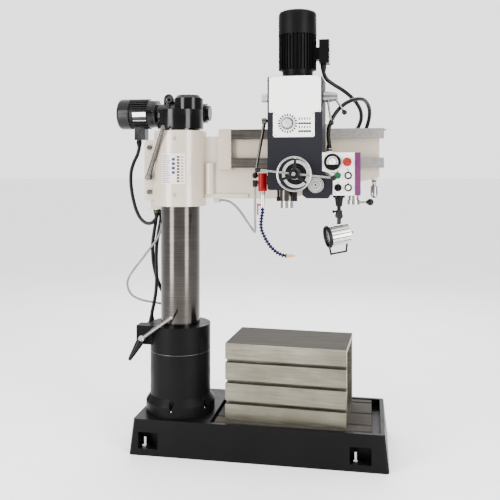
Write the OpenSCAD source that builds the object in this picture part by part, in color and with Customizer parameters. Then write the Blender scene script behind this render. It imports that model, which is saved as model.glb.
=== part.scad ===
// Radial arm drill with a round column, a box table, a geared head and a lift drive.
// The origin is the column axis at floor level, +X runs along the arm and -Y faces the operator.

/* [Base] */
// Reach of the rim to the left of the column axis
base_left = 186; // [182:1:230]
// Reach of the rim to the right of the column axis
base_right = 1034; // [1000:1:1200]
// Height of the base casting
base_h = 174; // [160:1:200]
// How far the foot stands out past the rim at each end
end_draft = 20; // [10:1:30]
// How far the foot stands out past the rim at the front and back
side_draft = 9; // [5:1:15]
// Radius of the upright corners of the foot
foot_corner_r = 14; // [8:1:20]
// Width of the rim round the coolant gutter
rim_w = 20; // [14:1:24]
// Width of the gutter along the sides of the plate
gutter_w = 20; // [14:1:24]
// Width of the gutter at the end of the plate
gutter_end_w = 42; // [30:1:60]
// Depth of the gutter
gutter_depth = 44; // [38:1:54]
// Distance from the column axis to the slotted plate
plate_start = 216; // [205:1:240]
// Spacing of the base slots
slot_pitch = 160; // [130:1:165]
// Place of the middle base slot behind the column axis
slot_mid = 80; // [70:1:90]
// Distance from the front slot to the front edge of the slotted plate
front_margin = 76; // [70:1:100]
// Distance from the rear slot to the rear edge of the slotted plate
rear_margin = 45; // [40:1:100]
// Width of the throat of a T-slot
slot_w = 18; // [14:1:20]
// Depth of the throat of a T-slot
throat_h = 17; // [14:1:20]
// Width of the wide part of a T-slot
tee_w = 32; // [28:1:36]
// Height of the wide part of a T-slot
tee_h = 13; // [10:1:16]
// Width of a holding-down pocket
pocket_w = 100; // [90:1:110]
// Height of a holding-down pocket
pocket_h = 80; // [70:1:90]
// Depth of a holding-down pocket from the rim line
pocket_depth = 62; // [54:1:70]
// Thickness of the foot under a pocket
foot_t = 32; // [26:1:38]
// Distance from the left end of the rim to the middle of a pocket
pocket_inset_left = 77; // [72:1:90]
// Distance from the right end of the rim to the middle of a pocket
pocket_inset_right = 112; // [100:1:130]
// Radius of a foundation bolt hole
foundation_hole_r = 11; // [8:0.5:13]
// Radius of a levelling screw
levelling_r = 10; // [8:0.5:12]
// Distance of the screw and of the hole from the middle of their pocket
pocket_offset = 24; // [20:1:28]

/* [Box table] */
// Length of the box table
box_w = 594; // [520:1:620]
// Depth of the box table
box_d = 352; // [320:1:370]
// Height of the box table
box_h = 374; // [340:1:380]
// Wall of the box table
box_wall = 26; // [20:1:32]
// Front wall of the box table, which holds the slots
box_front_wall = 46; // [42:1:52]
// Middle of the box table along the arm
box_x = 567; // [560:1:575]
// Middle of the box table behind the column axis
box_y = 42; // [38:1:46]
// Turn of the box table on the plate, in degrees
box_turn = -3; // [-4:0.5:4]
// Height of the lowest front slot above the plate
box_slot_low = 84; // [70:1:95]
// Spacing of the front slots
box_slot_pitch = 102; // [85:1:108]

/* [Column] */
// Diameter of the column
column_d = 200; // [190:1:206]
// Wall of the column tube
column_wall = 16; // [12:1:20]
// Height of the column above the base
column_rise = 1438; // [1420:1:1500]
// Diameter of the column stand
stand_d = 308; // [300:1:316]
// Height of the column stand above the base
stand_h = 308; // [300:1:320]
// Diameter of the stand's foot
flange_d = 352; // [340:1:360]
// Height of the straight part of the stand's foot
flange_h = 54; // [45:1:60]
// Height of the cone above the foot
cone_h = 34; // [25:1:40]
// Height of the swivel collar
collar_h = 132; // [126:1:140]
// Wall of the bearing bushes in the stand
bush_t = 12; // [8:1:16]
// Height of a bearing bush
bush_h = 60; // [40:1:80]
// Thickness of the floor of the stand
stand_floor = 14; // [10:1:18]
// Height of the thrust bearing
thrust_h = 20; // [16:1:24]
// Radius of the bolts in the stand's foot
stand_bolt_r = 6; // [5:0.5:7]

/* [Lift drive] */
// Distance of the lift screw behind the column axis
screw_y = 168; // [165:1:172]
// Distance of the lift screw to the left of the column axis
screw_left = 30; // [26:1:34]
// Radius of the lift screw
screw_r = 18; // [15:0.5:20]
// Radius of the worm wheel
wheel_r = 60; // [54:1:64]
// Diameter of the gear drum on the column
drum_d = 237; // [232:1:242]
// Height of the gear drum
drum_h = 97; // [90:1:104]
// Height of the motor axis above the drum's foot
lift_axis_h = 88; // [84:1:92]
// Distance of the motor axis behind the column axis
lift_axis_y = 85; // [82:1:90]
// Outer radius of the lift motor over its fins
lift_motor_r = 80; // [76:1:84]
// Length of the finned part of the lift motor
lift_body_l = 100; // [92:1:110]
// Length of the lift motor's fan cover
lift_cover_l = 68; // [60:1:76]

/* [Arm] */
// Outer diameter of the arm's sleeve
sleeve_d = 268; // [262:1:276]
// Height of the sleeve
sleeve_h = 383; // [380:1:395]
// Gap between the top of the sleeve and the gear drum
sleeve_gap = 11; // [8:1:16]
// Distance of the arm's front wall in front of the column axis
arm_front = 20; // [16:1:24]
// Depth of the arm
arm_depth = 140; // [130:1:150]
// Reach of the arm from the column axis
arm_reach = 1010; // [1000:1:1060]
// Reach of the slideways from the column axis
rail_reach = 1032; // [1022:1:1040]
// Start of the slideways from the column axis
rail_start = 277; // [270:1:285]
// Height of a slideway
rail_h = 50; // [46:1:54]
// How far the slideways stand proud of the arm
rail_proud = 30; // [26:1:34]
// Height of the upper slideway's top above the sleeve's top
rail_rise = 4; // [0:1:8]
// Distance between the tops of the two slideways
rail_pitch = 143; // [138:1:148]
// How far the upper slideway stands above the arm behind it
hook_h = 25; // [20:1:28]
// Height of the arm at its root, below the upper slideway
arm_root_h = 346; // [340:1:352]
// Height of the arm at its tip, below the upper slideway
arm_tip_h = 238; // [225:1:245]
// Distance from the column axis to the start of the taper
taper_start = 560; // [520:1:600]
// Reach of the sleeve's clamping lugs
lug_reach = 180; // [176:1:184]
// Thickness of the two clamping lugs together
lug_t = 90; // [80:1:100]
// Width of the clamping slit
slit_w = 6; // [4:1:8]

/* [Head] */
// Distance of the spindle from the column axis
spindle_x = 574; // [560:1:590]
// Distance of the spindle in front of the column axis
spindle_y = 165; // [160:1:175]
// Reach of the head to the left of the spindle
head_left = 74; // [72:1:80]
// Reach of the head to the right of the spindle
head_right = 178; // [172:1:184]
// Reach of the head in front of the spindle
head_front = 135; // [130:1:140]
// Drop of the head below the feed axis
head_drop = 75; // [68:1:80]
// Rise of the head above the feed axis
head_rise = 450; // [445:1:465]
// Wall of the head casting
head_wall = 16; // [14:1:20]
// Thickness of the saddle between the head and the slideways
saddle_t = 22; // [18:1:26]
// Radius of the quill
quill_r = 38; // [37:0.5:40]
// Travel of the quill
quill_travel = 170; // [150:1:175]
// Reach of the quill below the feed axis
quill_drop = 129; // [124:1:134]
// Radius of the spindle inside the quill
spindle_r = 22; // [20:0.5:24]
// Radius of the spindle's upper end
spline_r = 15; // [13:0.5:16]
// Radius of the spindle nose
nose_r = 31; // [29:0.5:33]
// Height of the spindle nose
nose_h = 34; // [30:1:40]
// Radius of the taper in the nose at its mouth
taper_mouth_r = 15.6; // [14:0.1:17]
// Radius of the taper in the nose at its end
taper_end_r = 12.9; // [12:0.1:13.9]
// Depth of the taper in the nose
taper_depth = 103; // [90:1:110]

/* [Gears] */
// Module of the feed pinion and the quill rack
feed_module = 3; // [2.5:0.5:3]
// Teeth on the feed pinion
feed_teeth = 19; // [18:1:20]
// Module of the traverse pinion and the arm rack
traverse_module = 2.5; // [2:0.5:2.5]
// Teeth on the traverse pinion
traverse_teeth = 18; // [18:1:20]
// Module of the spindle drive gears
drive_module = 2; // [1.5:0.5:2]
// Teeth on the motor pinion
motor_teeth = 17; // [17:1:19]
// Teeth on the drive gear
drive_teeth = 34; // [33:1:36]
// Play between meshing teeth
backlash = 0.6; // [0.3:0.1:0.8]

/* [Controls] */
// Radius of the traverse wheel
wheel_rim_r = 79; // [74:1:84]
// Radius of the wheel's rim bar
rim_bar_r = 5; // [4:0.5:6]
// Length of a feed lever from its axis to the middle of its knob
feed_lever_l = 172; // [160:1:180]
// Tilt of the feed levers, in degrees
feed_lever_tilt = -6; // [-10:1:10]
// Radius of a lever knob
knob_r = 12; // [10:0.5:13]
// Radius of a lever rod
lever_r = 5; // [4:0.5:6]
// Radius of the feed dial's knob
dial_r = 29; // [24:1:32]
// Width of the control box
panel_w = 171; // [165:1:180]
// Height of the control box
panel_h = 194; // [186:1:200]
// Depth of the control box
panel_d = 110; // [100:1:120]

/* [Spindle motor] */
// Outer radius of the spindle motor over its fins
motor_r = 90; // [86:1:94]
// Height of the motor's mounting flange
motor_flange_h = 42; // [38:1:46]
// Height of the finned part of the motor
motor_body_h = 164; // [156:1:172]
// Height of the motor's fan cover
motor_cover_h = 113; // [105:1:120]
// Number of fins on a motor
fin_count = 36; // [28:2:44]

/* [Fits] */
// Radial clearance of a shaft that turns or slides
running_fit = 0.05; // [0.02:0.01:0.1]
// Clearance between pieces that are seated together
seat_gap = 0.05; // [0.02:0.01:0.1]
// Clearance between flat faces that move past each other
slide_gap = 0.3; // [0.2:0.1:0.5]

/* [Hidden] */
$fn = 64;

black_paint = "#1d1e20";
cream_paint = "#d8d3c2";
grey_paint = "#4a4b4e";
bare_steel = "#9a9894";
bright_steel = "#c9cbcd";
bronze = "#b08d4f";
silver_paint = "#a9adb0";
white_paint = "#e6e6e2";
black_plastic = "#161617";
blue_plastic = "#2f6fc0";

column_r = column_d / 2;
column_top = base_h + column_rise;
stand_r = stand_d / 2;
stand_top = base_h + stand_h;
stand_bore_r = column_r + bush_t;
column_foot = base_h + stand_floor + thrust_h + slide_gap;
collar_bottom = stand_top + slide_gap;
collar_top = collar_bottom + collar_h;
plate_end = base_right - rim_w - gutter_end_w;
plate_front = slot_mid - slot_pitch - front_margin;
plate_back = slot_mid + slot_pitch + rear_margin;
base_front = gutter_w + rim_w - plate_front;
base_rear = plate_back + gutter_w + rim_w;
pocket_x = [-base_left + pocket_inset_left, base_right - pocket_inset_right];
hole_inset = pocket_depth / 2 - 3;
foot_y = [-base_front + hole_inset, base_rear - hole_inset];

sleeve_r = sleeve_d / 2;
sleeve_top = column_top - sleeve_gap;
sleeve_bottom = sleeve_top - sleeve_h;
rail_top = sleeve_top + rail_rise;
low_rail_top = rail_top - rail_pitch;
low_rail_bottom = low_rail_top - rail_h;
arm_top = rail_top - hook_h;
arm_back = arm_depth - arm_front;
rail_front = -arm_front - rail_proud;
screw_x = -screw_left;
lug_top = sleeve_top - 46;
lug_bottom = sleeve_bottom + 29;
clamp_x = -152;
clamp_z = lug_bottom + 117;
block_z = sleeve_bottom - 20;
block_min = [-172, 26, block_z];
block_size = [72, 62, 70];
gland_h = 18;
cable_r = 9.5;
hose_r = 6;
cable_glands = [[-140, 42], [-154, 68], [-130, 72]];
hose_gland = [-113, 46];
collar_glands = [[-60, 115, collar_top], [-178, 66, collar_bottom + 110], [-20, 128, collar_top]];
supply_port = [206, 10, 1246];

feed_r = feed_module * feed_teeth / 2;
traverse_r = traverse_module * traverse_teeth / 2;
rack_backing = 2.4;
dedendum = 1.25;
head_z = low_rail_bottom - rack_backing - dedendum * traverse_module - traverse_r;
saddle_front = rail_front - slide_gap - saddle_t;
head_back = saddle_front + spindle_y;
rack_tip_x = quill_r - 2;
feed_x = rack_tip_x - feed_module + feed_r;
drive_r = drive_module * drive_teeth / 2;
motor_pinion_r = drive_module * motor_teeth / 2;
motor_x = drive_r + motor_pinion_r;
quill_top = quill_travel + 30;
gear_floor = quill_top + 3;
gear_w = 32;
spindle_top = head_rise - 20;
feed_shaft_r = 20;
traverse_shaft_r = 11;
panel_left = head_right;
panel_right = panel_left + panel_w;
panel_bottom = -panel_h / 2;
panel_front = -head_front;
lamp_x = 251;
lamp_y = -85;
lamp_joint_z = panel_bottom - 96;
valve_x = -108;
valve_y = -65;
speed_y = -35;
speed_z = 360;
lock_y = -35;
lock_z = 251;
head_clamp_x = 314;
head_clamp_y = 45;

// Routes of the cables and hoses, in model coordinates
lift_cable_route = [[-254, 85, 1543], [-254, 85, 1520], [-264, 84, 1482], [-282, 82, 1444], [-296, 79, 1396],
    [-298, 76, 1345], [-291, 71, 1290], [-278, 66, 1235], [-262, 60, 1190], [-238, 54, 1148],
    [-205, 48, 1122], [-172, 44, 1122], [-150, 42, 1142], [-140, 42, 1162], [-140, 42, 1180]];
front_cable_route = [[-154, 68, 1180], [-154, 68, 1140], [-164, 68, 1080], [-173, 68, 1010], [-174, 74, 940],
    [-168, 80, 880], [-154, 88, 820], [-132, 97, 760], [-104, 106, 715], [-76, 113, 680], [-60, 115, 655],
    [-60, 115, 632.3]];
rear_cable_route = [[-130, 72, 1180], [-130, 72, 1140], [-140, 70, 1080], [-150, 68, 1010], [-152, 64, 940],
    [-150, 62, 870], [-150, 62, 800], [-156, 63, 740], [-166, 65, 690], [-175, 66, 650], [-178, 66, 630],
    [-178, 66, 610.3]];
column_hose_route = [[-113, 46, 1180], [-113, 46, 1140], [-122, 44, 1080], [-146, 42, 1030], [-182, 44, 985],
    [-222, 50, 935], [-268, 58, 880], [-304, 66, 830], [-316, 72, 785], [-298, 82, 735], [-250, 94, 706],
    [-190, 108, 692], [-120, 122, 680], [-62, 132, 672], [-30, 132, 658], [-20, 128, 645], [-20, 128, 632.3]];
motor_cable_route = [[748, -165, 1886], [748, -165, 1866], [762, -159, 1834], [796, -142, 1808],
    [834, -112, 1786], [868, -72, 1762], [898, -26, 1732], [918, 26, 1696], [920, 76, 1658], [908, 116, 1626],
    [895, 138, 1606], [892, 142, 1592], [892, 142, 1578]];
control_cable_route = [[780, -250, 1500], [780, -250, 1524], [776, -249, 1560], [780, -247, 1600],
    [794, -242, 1638], [814, -230, 1672], [840, -208, 1702], [870, -176, 1724], [902, -134, 1738],
    [930, -80, 1742], [950, -20, 1730], [962, 42, 1698], [958, 96, 1654], [944, 132, 1610], [940, 142, 1590],
    [940, 142, 1578]];
supply_route = [[206, 10, 1246], [230, 10, 1246], [262, -1, 1238], [296, -26, 1218], [330, -58, 1188],
    [360, -90, 1156], [386, -118, 1128], [404, -142, 1112], [416, -168, 1104], [424, -196, 1110],
    [429, -218, 1130], [430, -229, 1160], [430, -230, 1200], [430, -230, 1260], [430, -230, 1322]];
coolant_route = [[466, -230, 1225], [466, -230, 1205], [461, -230, 1172], [459, -230, 1142],
    [463, -230, 1116], [474, -230, 1090], [488, -230, 1064], [506, -230, 1040], [530, -230, 1018],
    [556, -230, 1004], [582, -230, 999]];

function unit(v) = v / norm(v);
function route_end(p) = p[len(p) - 1];
function tangent(p, i) = unit(p[min(i + 1, len(p) - 1)] - p[max(i - 1, 0)]);
function carry(n, t) = unit(n - (n * t) * t);
function normals(p, n, i = 0) = i == len(p) ? [] :
    let (m = carry(n, tangent(p, i))) concat([m], normals(p, m, i + 1));
function ring(c, t, n, r, sides) = [for (k = [0 : sides - 1])
    let (a = 360 * k / sides) c + r * (cos(a) * n + sin(a) * cross(t, n))];
function wall_faces(first, rings, sides, inward) = [for (i = [0 : rings - 2], k = [0 : sides - 1])
    let (a = first + i * sides + k, b = first + i * sides + (k + 1) % sides, c = a + sides, d = b + sides)
    each inward ? [[a, b, d], [a, d, c]] : [[a, d, b], [a, c, d]]];

// A plain tube along a route
module tube(route, r, sides = 10) {
    n = normals(route, [0.3, 0.9, 0.2]);
    last = len(route) - 1;
    points = [for (i = [0 : last]) each ring(route[i], tangent(route, i), n[i], r, sides)];
    caps = [[for (k = [0 : sides - 1]) k], [for (k = [sides - 1 : -1 : 0]) last * sides + k]];
    polyhedron(points, concat(wall_faces(0, last + 1, sides, false), caps), convexity = 8);
}

// A hose of ball-and-socket links with a through bore, each link swelling from r_min to r_max
module linked_hose(route, links, r_min, r_max, bore_r, sides = 8) {
    last = links * 2;
    at = [for (i = [0 : last]) along(route, i / last)];
    n = normals(at, [0, 1, 0]);
    outer = [for (i = [0 : last]) each ring(at[i], tangent(at, i), n[i], i % 2 == 0 ? r_min : r_max, sides)];
    inner = [for (i = [0 : last]) each ring(at[i], tangent(at, i), n[i], bore_r, sides)];
    first_inner = (last + 1) * sides;
    tail = last * sides;
    ends = [for (k = [0 : sides - 1]) let (j = (k + 1) % sides)
        each [[k, j, first_inner + j], [k, first_inner + j, first_inner + k],
            [tail + k, first_inner + tail + j, tail + j],
            [tail + k, first_inner + tail + k, first_inner + tail + j]]];
    polyhedron(concat(outer, inner), concat(wall_faces(0, last + 1, sides, false),
        wall_faces(first_inner, last + 1, sides, true), ends), convexity = 8);
}

// The point at a share of the way along a route, by its count of points
function along(p, share) = let (s = share * (len(p) - 1), i = min(floor(s), len(p) - 2))
    p[i] + (s - i) * (p[i + 1] - p[i]);

// Involute gear outline
function involute_deg(a) = tan(a) * 180 / PI - a;
function flank_angle(r, base_r, base_half) = r <= base_r ? base_half
    : base_half - involute_deg(acos(base_r / r));
function gear_points(m, z) = let (
    rp = m * z / 2, rb = rp * cos(20), ra = rp + m, rf = rp - dedendum * m,
    half = 90 / z - backlash / 4 / rp * 180 / PI + involute_deg(20),
    radii = [rf, for (i = [0 : 4]) max(rb, rf) + (ra - max(rb, rf)) * i / 4])
    [for (i = [0 : z - 1]) each concat(
        [for (r = radii) let (a = 360 * i / z - flank_angle(r, rb, half)) r * [cos(a), sin(a)]],
        [for (k = [len(radii) - 1 : -1 : 0]) let (r = radii[k], a = 360 * i / z + flank_angle(r, rb, half))
            r * [cos(a), sin(a)]])];
module gear(m, z, w) { linear_extrude(w) polygon(gear_points(m, z)); }

// The gap between two rack teeth, pointing along -Y from the tooth tips at y = 0
module rack_gap(m) {
    half_tip = PI * m / 4 + m * tan(20) + backlash / 4;
    depth = (1 + dedendum) * m;
    half_root = half_tip - depth * tan(20);
    polygon([[-half_tip - 0.2 * tan(20), 0.2], [half_tip + 0.2 * tan(20), 0.2], [half_root, -depth],
        [-half_root, -depth]]);
}

// Placing helpers
module at_head() { translate([spindle_x, -spindle_y, head_z]) children(); }
module slab(y_front, y_back) { translate([0, y_back, 0]) rotate([90, 0, 0]) linear_extrude(y_back - y_front)
    children(); }
module block(low, high) { translate(low) cube(high - low); }
module from_to(a, b) {
    v = b - a;
    translate(a) rotate([0, acos(v.z / norm(v)), atan2(v.y, v.x)]) children();
}
module rod(a, b, r1, r2 = -1) { from_to(a, b) cylinder(h = norm(b - a), r1 = r1, r2 = r2 < 0 ? r1 : r2); }
module axle_y(x, z, y_front, y_back, r) { translate([x, y_back, z]) rotate([90, 0, 0])
    cylinder(h = y_back - y_front, r = r); }
module axle_x(y, z, x_low, x_high, r1, r2 = -1) { translate([x_low, y, z]) rotate([0, 90, 0])
    cylinder(h = x_high - x_low, r1 = r1, r2 = r2 < 0 ? r1 : r2); }
module post(x, y, z_low, z_high, r1, r2 = -1) { translate([x, y, z_low])
    cylinder(h = z_high - z_low, r1 = r1, r2 = r2 < 0 ? r1 : r2); }
module ball(p, r) { translate(p) sphere(r); }

// A T-slot cut along X, with its mouth facing +Z at z = 0
module tee_cut(length) {
    translate([0, -slot_w / 2, -throat_h - tee_h / 2]) cube([length, slot_w, throat_h + tee_h / 2 + 1]);
    translate([0, -tee_w / 2, -throat_h - tee_h]) cube([length, tee_w, tee_h]);
}

function chamfered(x0, y0, x1, y1, c) = [[x0 + c, y0], [x1 - c, y0], [x1, y0 + c], [x1, y1 - c],
    [x1 - c, y1], [x0 + c, y1], [x0, y1 - c], [x0, y0 + c]];

// Bolts of the stand's foot, set in spot faces round the stand
stand_bolt_circle = (stand_r + flange_d / 2) / 2;
stand_bolt_seat = base_h + 32;
stand_bolt_depth = 40;
module at_stand_bolts() {
    for (a = [30 : 60 : 330]) rotate(a) translate([stand_bolt_circle, 0, 0]) children();
}

module base_casting() {
    rim_chamfer = 9;
    color(black_paint) difference() {
        hull() {
            for (x = [-base_left - end_draft + foot_corner_r, base_right + end_draft - foot_corner_r],
                y = [-base_front - side_draft + foot_corner_r, base_rear + side_draft - foot_corner_r])
                translate([x, y, 0]) cylinder(h = 1, r = foot_corner_r, $fn = 32);
            translate([0, 0, base_h - 1]) linear_extrude(1)
                polygon(chamfered(-base_left, -base_front, base_right, base_rear, rim_chamfer));
        }
        difference() {
            block([plate_start - gutter_w, -base_front + rim_w, base_h - gutter_depth],
                [base_right - rim_w, base_rear - rim_w, base_h + 1]);
            block([plate_start, plate_front, 0], [plate_end, plate_back, base_h + 2]);
        }
        for (k = [-1, 0, 1]) translate([plate_start - 1, slot_mid + k * slot_pitch, base_h])
            tee_cut(plate_end - plate_start + 2);
        for (x = pocket_x) {
            block([x - pocket_w / 2, -base_front - side_draft - 1, foot_t],
                [x + pocket_w / 2, -base_front + pocket_depth, foot_t + pocket_h]);
            block([x - pocket_w / 2, base_rear - pocket_depth, foot_t],
                [x + pocket_w / 2, base_rear + side_draft + 1, foot_t + pocket_h]);
            for (y = foot_y) {
                post(x + pocket_offset, y, -1, foot_t + 1, foundation_hole_r);
                post(x - pocket_offset, y, -1, foot_t + 1, levelling_r + seat_gap);
            }
        }
        at_stand_bolts() post(0, 0, base_h - stand_bolt_depth, base_h + 1, stand_bolt_r + seat_gap);
    }
}

module base_bolts() {
    screw_foot = 2;
    nut_h = 14;
    color(bright_steel) {
        for (x = pocket_x, y = foot_y) translate([x - pocket_offset, y, 0]) {
            post(0, 0, screw_foot, foot_t + 50, levelling_r);
            post(0, 0, foot_t, foot_t + nut_h, levelling_r * 1.8, $fn = 6);
        }
        at_stand_bolts() {
            post(0, 0, base_h - stand_bolt_depth + 1, stand_bolt_seat, stand_bolt_r);
            post(0, 0, stand_bolt_seat, stand_bolt_seat + 9, stand_bolt_r * 1.7, $fn = 6);
        }
    }
}

module box_table() {
    color(bare_steel) translate([box_x, box_y, base_h]) rotate(box_turn) difference() {
        block([-box_w / 2, -box_d / 2, 0], [box_w / 2, box_d / 2, box_h]);
        block([-box_w / 2 - 1, -box_d / 2 + box_front_wall, box_wall],
            [box_w / 2 + 1, box_d / 2 - box_wall, box_h - box_wall]);
        for (k = [0 : 2]) translate([-box_w / 2 - 1, -box_d / 2, box_slot_low + k * box_slot_pitch])
            rotate([90, 0, 0]) tee_cut(box_w + 2);
    }
}

module column_stand() {
    spot_r = stand_bolt_r * 2;
    cone_top = base_h + flange_h + cone_h;
    color(black_paint) difference() {
        union() {
            post(0, 0, base_h, base_h + flange_h, flange_d / 2);
            post(0, 0, base_h + flange_h, cone_top, flange_d / 2, stand_r);
            post(0, 0, base_h, stand_top, stand_r);
        }
        post(0, 0, base_h + stand_floor, stand_top + 1, stand_bore_r);
        at_stand_bolts() {
            post(0, 0, stand_bolt_seat, cone_top + 1, spot_r);
            post(0, 0, base_h - 1, stand_bolt_seat + 1, stand_bolt_r + seat_gap);
        }
    }
}

module stand_bearings() {
    lower = column_foot + 10;
    color(bronze) {
        for (z = [lower, stand_top - bush_h]) difference() {
            post(0, 0, z, z + bush_h, stand_bore_r - seat_gap);
            post(0, 0, z - 1, z + bush_h + 1, column_r + running_fit);
        }
        difference() {
            post(0, 0, base_h + stand_floor, base_h + stand_floor + thrust_h, stand_bore_r - seat_gap);
            post(0, 0, base_h, base_h + stand_floor + thrust_h + 1, column_r - column_wall);
        }
    }
}

module column_tube() {
    color(bright_steel) difference() {
        post(0, 0, column_foot, column_top, column_r);
        post(0, 0, column_foot - 1, column_top + 1, column_r - column_wall);
    }
}

// Clamping lug of the collar and the lever that tightens it
collar_lug_x = -165;
collar_lug_z = collar_bottom + 73;
collar_lug_front = -95;
clamp_screw_r = 7;
bracket_h = 40;
module swivel_collar() {
    lug_low = [-206, collar_lug_front, collar_bottom + 34];
    lug_high = [-110, -25, collar_top - 3];
    clip_low = [-202, 44, collar_glands[1].z - 34];
    clip_high = [-120, 88, collar_glands[1].z];
    bracket_low = [screw_x - screw_r - 14, 110, collar_top - bracket_h];
    bracket_high = [screw_x + screw_r + 14, screw_y + screw_r + 14, collar_top];
    color(black_paint) difference() {
        union() {
            post(0, 0, collar_bottom, collar_top, stand_r);
            block(lug_low, lug_high);
            block(clip_low, clip_high);
            block(bracket_low, bracket_high);
            for (k = [0 : 2]) let (p = collar_glands[k], r = k == 2 ? hose_r : cable_r)
                post(p.x, p.y, p.z - 1, p.z + gland_h, r + 4);
        }
        post(0, 0, collar_bottom - 1, collar_top + 1, column_r + seat_gap);
        block([lug_low.x - 1, -63, lug_low.z - 1], [-column_r + 22, -57, collar_top + 1]);
        axle_y(collar_lug_x, collar_lug_z, collar_lug_front - 1, -24, clamp_screw_r + running_fit);
        post(screw_x, screw_y, collar_top - bracket_h + 10, collar_top + 1, screw_r + running_fit);
    }
}

// Drive housing on top of the column
drum_top = column_top + drum_h;
lift_z = column_top + lift_axis_h;
tunnel_r = 52;
tunnel_end = 120;
chamber_r = wheel_r + 26;
chamber_top = lift_z + tunnel_r + 1;
motor_face = -160;
lift_boss_x = -88;
lift_boss_r = 28;
module gear_housing() {
    floor_z = column_top + 8;
    color(black_paint) difference() {
        union() {
            post(0, 0, column_top, drum_top, drum_d / 2);
            post(screw_x, screw_y, floor_z, chamber_top, chamber_r);
            block([screw_x - chamber_r + 16, 0, floor_z], [screw_x + chamber_r - 4, screw_y, drum_top]);
            axle_x(lift_axis_y, lift_z, motor_face, tunnel_end, tunnel_r);
            axle_x(lift_axis_y, lift_z, motor_face, motor_face + 14, lift_motor_r - 8);
            post(lift_boss_x, lift_axis_y, lift_z + 40, lift_z + 80, lift_boss_r);
            post(lift_boss_x, lift_axis_y, lift_z + 80, lift_z + 93, lift_boss_r, lift_boss_r - 12);
        }
        post(screw_x, screw_y, floor_z + 12, chamber_top + 1, wheel_r + 8);
        post(screw_x, screw_y, column_top, floor_z + 13, screw_r + running_fit);
        axle_x(lift_axis_y, lift_z, motor_face - 1, tunnel_end + 1, tunnel_r - 22);
    }
}

module gear_cover() {
    cap_x = 44;
    cap_r = 74;
    cap_top = drum_top + 60;
    eye = [-62, -6, drum_top + 60];
    eye_r = 20;
    color(black_paint) {
        difference() {
            union() {
                post(cap_x, 0, drum_top, cap_top, cap_r);
                post(cap_x, 0, cap_top, cap_top + 16, cap_r, cap_r - 14);
            }
            axle_x(lift_axis_y, lift_z, motor_face, tunnel_end, tunnel_r + seat_gap);
            post(screw_x, screw_y, column_top, chamber_top + 30, chamber_r + seat_gap);
        }
        difference() {
            post(screw_x, screw_y, chamber_top, chamber_top + 10, chamber_r);
            post(lift_boss_x, lift_axis_y, chamber_top - 1, chamber_top + 11, lift_boss_r + seat_gap);
        }
        axle_x(lift_axis_y, lift_z, tunnel_end, tunnel_end + 17, 41);
        post(eye.x, eye.y, drum_top, eye.z - eye_r + 2, 9);
        translate(eye) rotate([90, 0, 0]) rotate_extrude() translate([eye_r, 0]) circle(6);
    }
}

function fin_points(r, root, fin) = [for (i = [0 : fin_count - 1])
    let (a = 360 * i / fin_count, w = fin * 90 / PI / r, g = 180 / fin_count)
    each [root * [cos(a - w), sin(a - w)], r * [cos(a - w * 0.6), sin(a - w * 0.6)],
        r * [cos(a + w * 0.6), sin(a + w * 0.6)], root * [cos(a + w), sin(a + w)],
        root * [cos(a + g), sin(a + g)]]];

// A motor frame along +Z with straight fins and a round bore
module finned_frame(r, h, bore_r) {
    fin_w = 5;
    fin_h = 9;
    difference() {
        linear_extrude(h) polygon(fin_points(r, r - fin_h, fin_w));
        post(0, 0, -1, h + 1, bore_r);
    }
}

// A fan cover along +Z with a domed, slotted end
module fan_cover(r, h) {
    skin = 3;
    shoulder = 14;
    difference() {
        rotate_extrude() polygon([[r - skin, 0], [r, 0], [r, h - shoulder], [r - 4, h - 5], [r - shoulder, h],
            [0, h], [0, h - skin], [r - shoulder - 1, h - skin], [r - skin, h - shoulder - 2]]);
        for (a = [0 : 30 : 330]) rotate(a) block([r * 0.25, -2.5, h - skin - 1], [r * 0.72, 2.5, h + 1]);
    }
}

lift_motor_end = motor_face - 30;
terminal_box = [[-270, 55], [-212, 115]];
terminal_drop = 59;
module lift_motor() {
    box_z = lift_z - lift_motor_r - terminal_drop;
    gland = lift_cable_route[0];
    color(black_paint) {
        translate([lift_motor_end, lift_axis_y, lift_z]) rotate([0, -90, 0])
            finned_frame(lift_motor_r, lift_body_l, 20);
        axle_x(lift_axis_y, lift_z, lift_motor_end, motor_face, lift_motor_r - 4, lift_motor_r - 8);
        difference() {
            union() {
                block([terminal_box[0].x, terminal_box[0].y, box_z],
                    [terminal_box[1].x, terminal_box[1].y, lift_z - 20]);
                post(gland.x, gland.y, gland.z, box_z + 1, cable_r + 4);
            }
            axle_x(lift_axis_y, lift_z, -400, 0, lift_motor_r - 12);
        }
    }
}

module lift_fan_cover() {
    color(black_paint) translate([lift_motor_end - lift_body_l, lift_axis_y, lift_z]) rotate([0, -90, 0])
        fan_cover(lift_motor_r + 1, lift_cover_l);
}

module lift_screw() {
    color(bright_steel) post(screw_x, screw_y, collar_top - bracket_h + 10 + slide_gap, lift_z + 30, screw_r);
}

module worm_wheel() {
    wheel_m = 2.5;
    wheel_teeth = floor(2 * wheel_r / wheel_m) - 2;
    wheel_w = 34;
    color(bronze) translate([screw_x, screw_y, lift_z - wheel_w / 2]) difference() {
        gear(wheel_m, wheel_teeth, wheel_w);
        post(0, 0, -1, wheel_w + 1, screw_r + seat_gap);
    }
}

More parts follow.
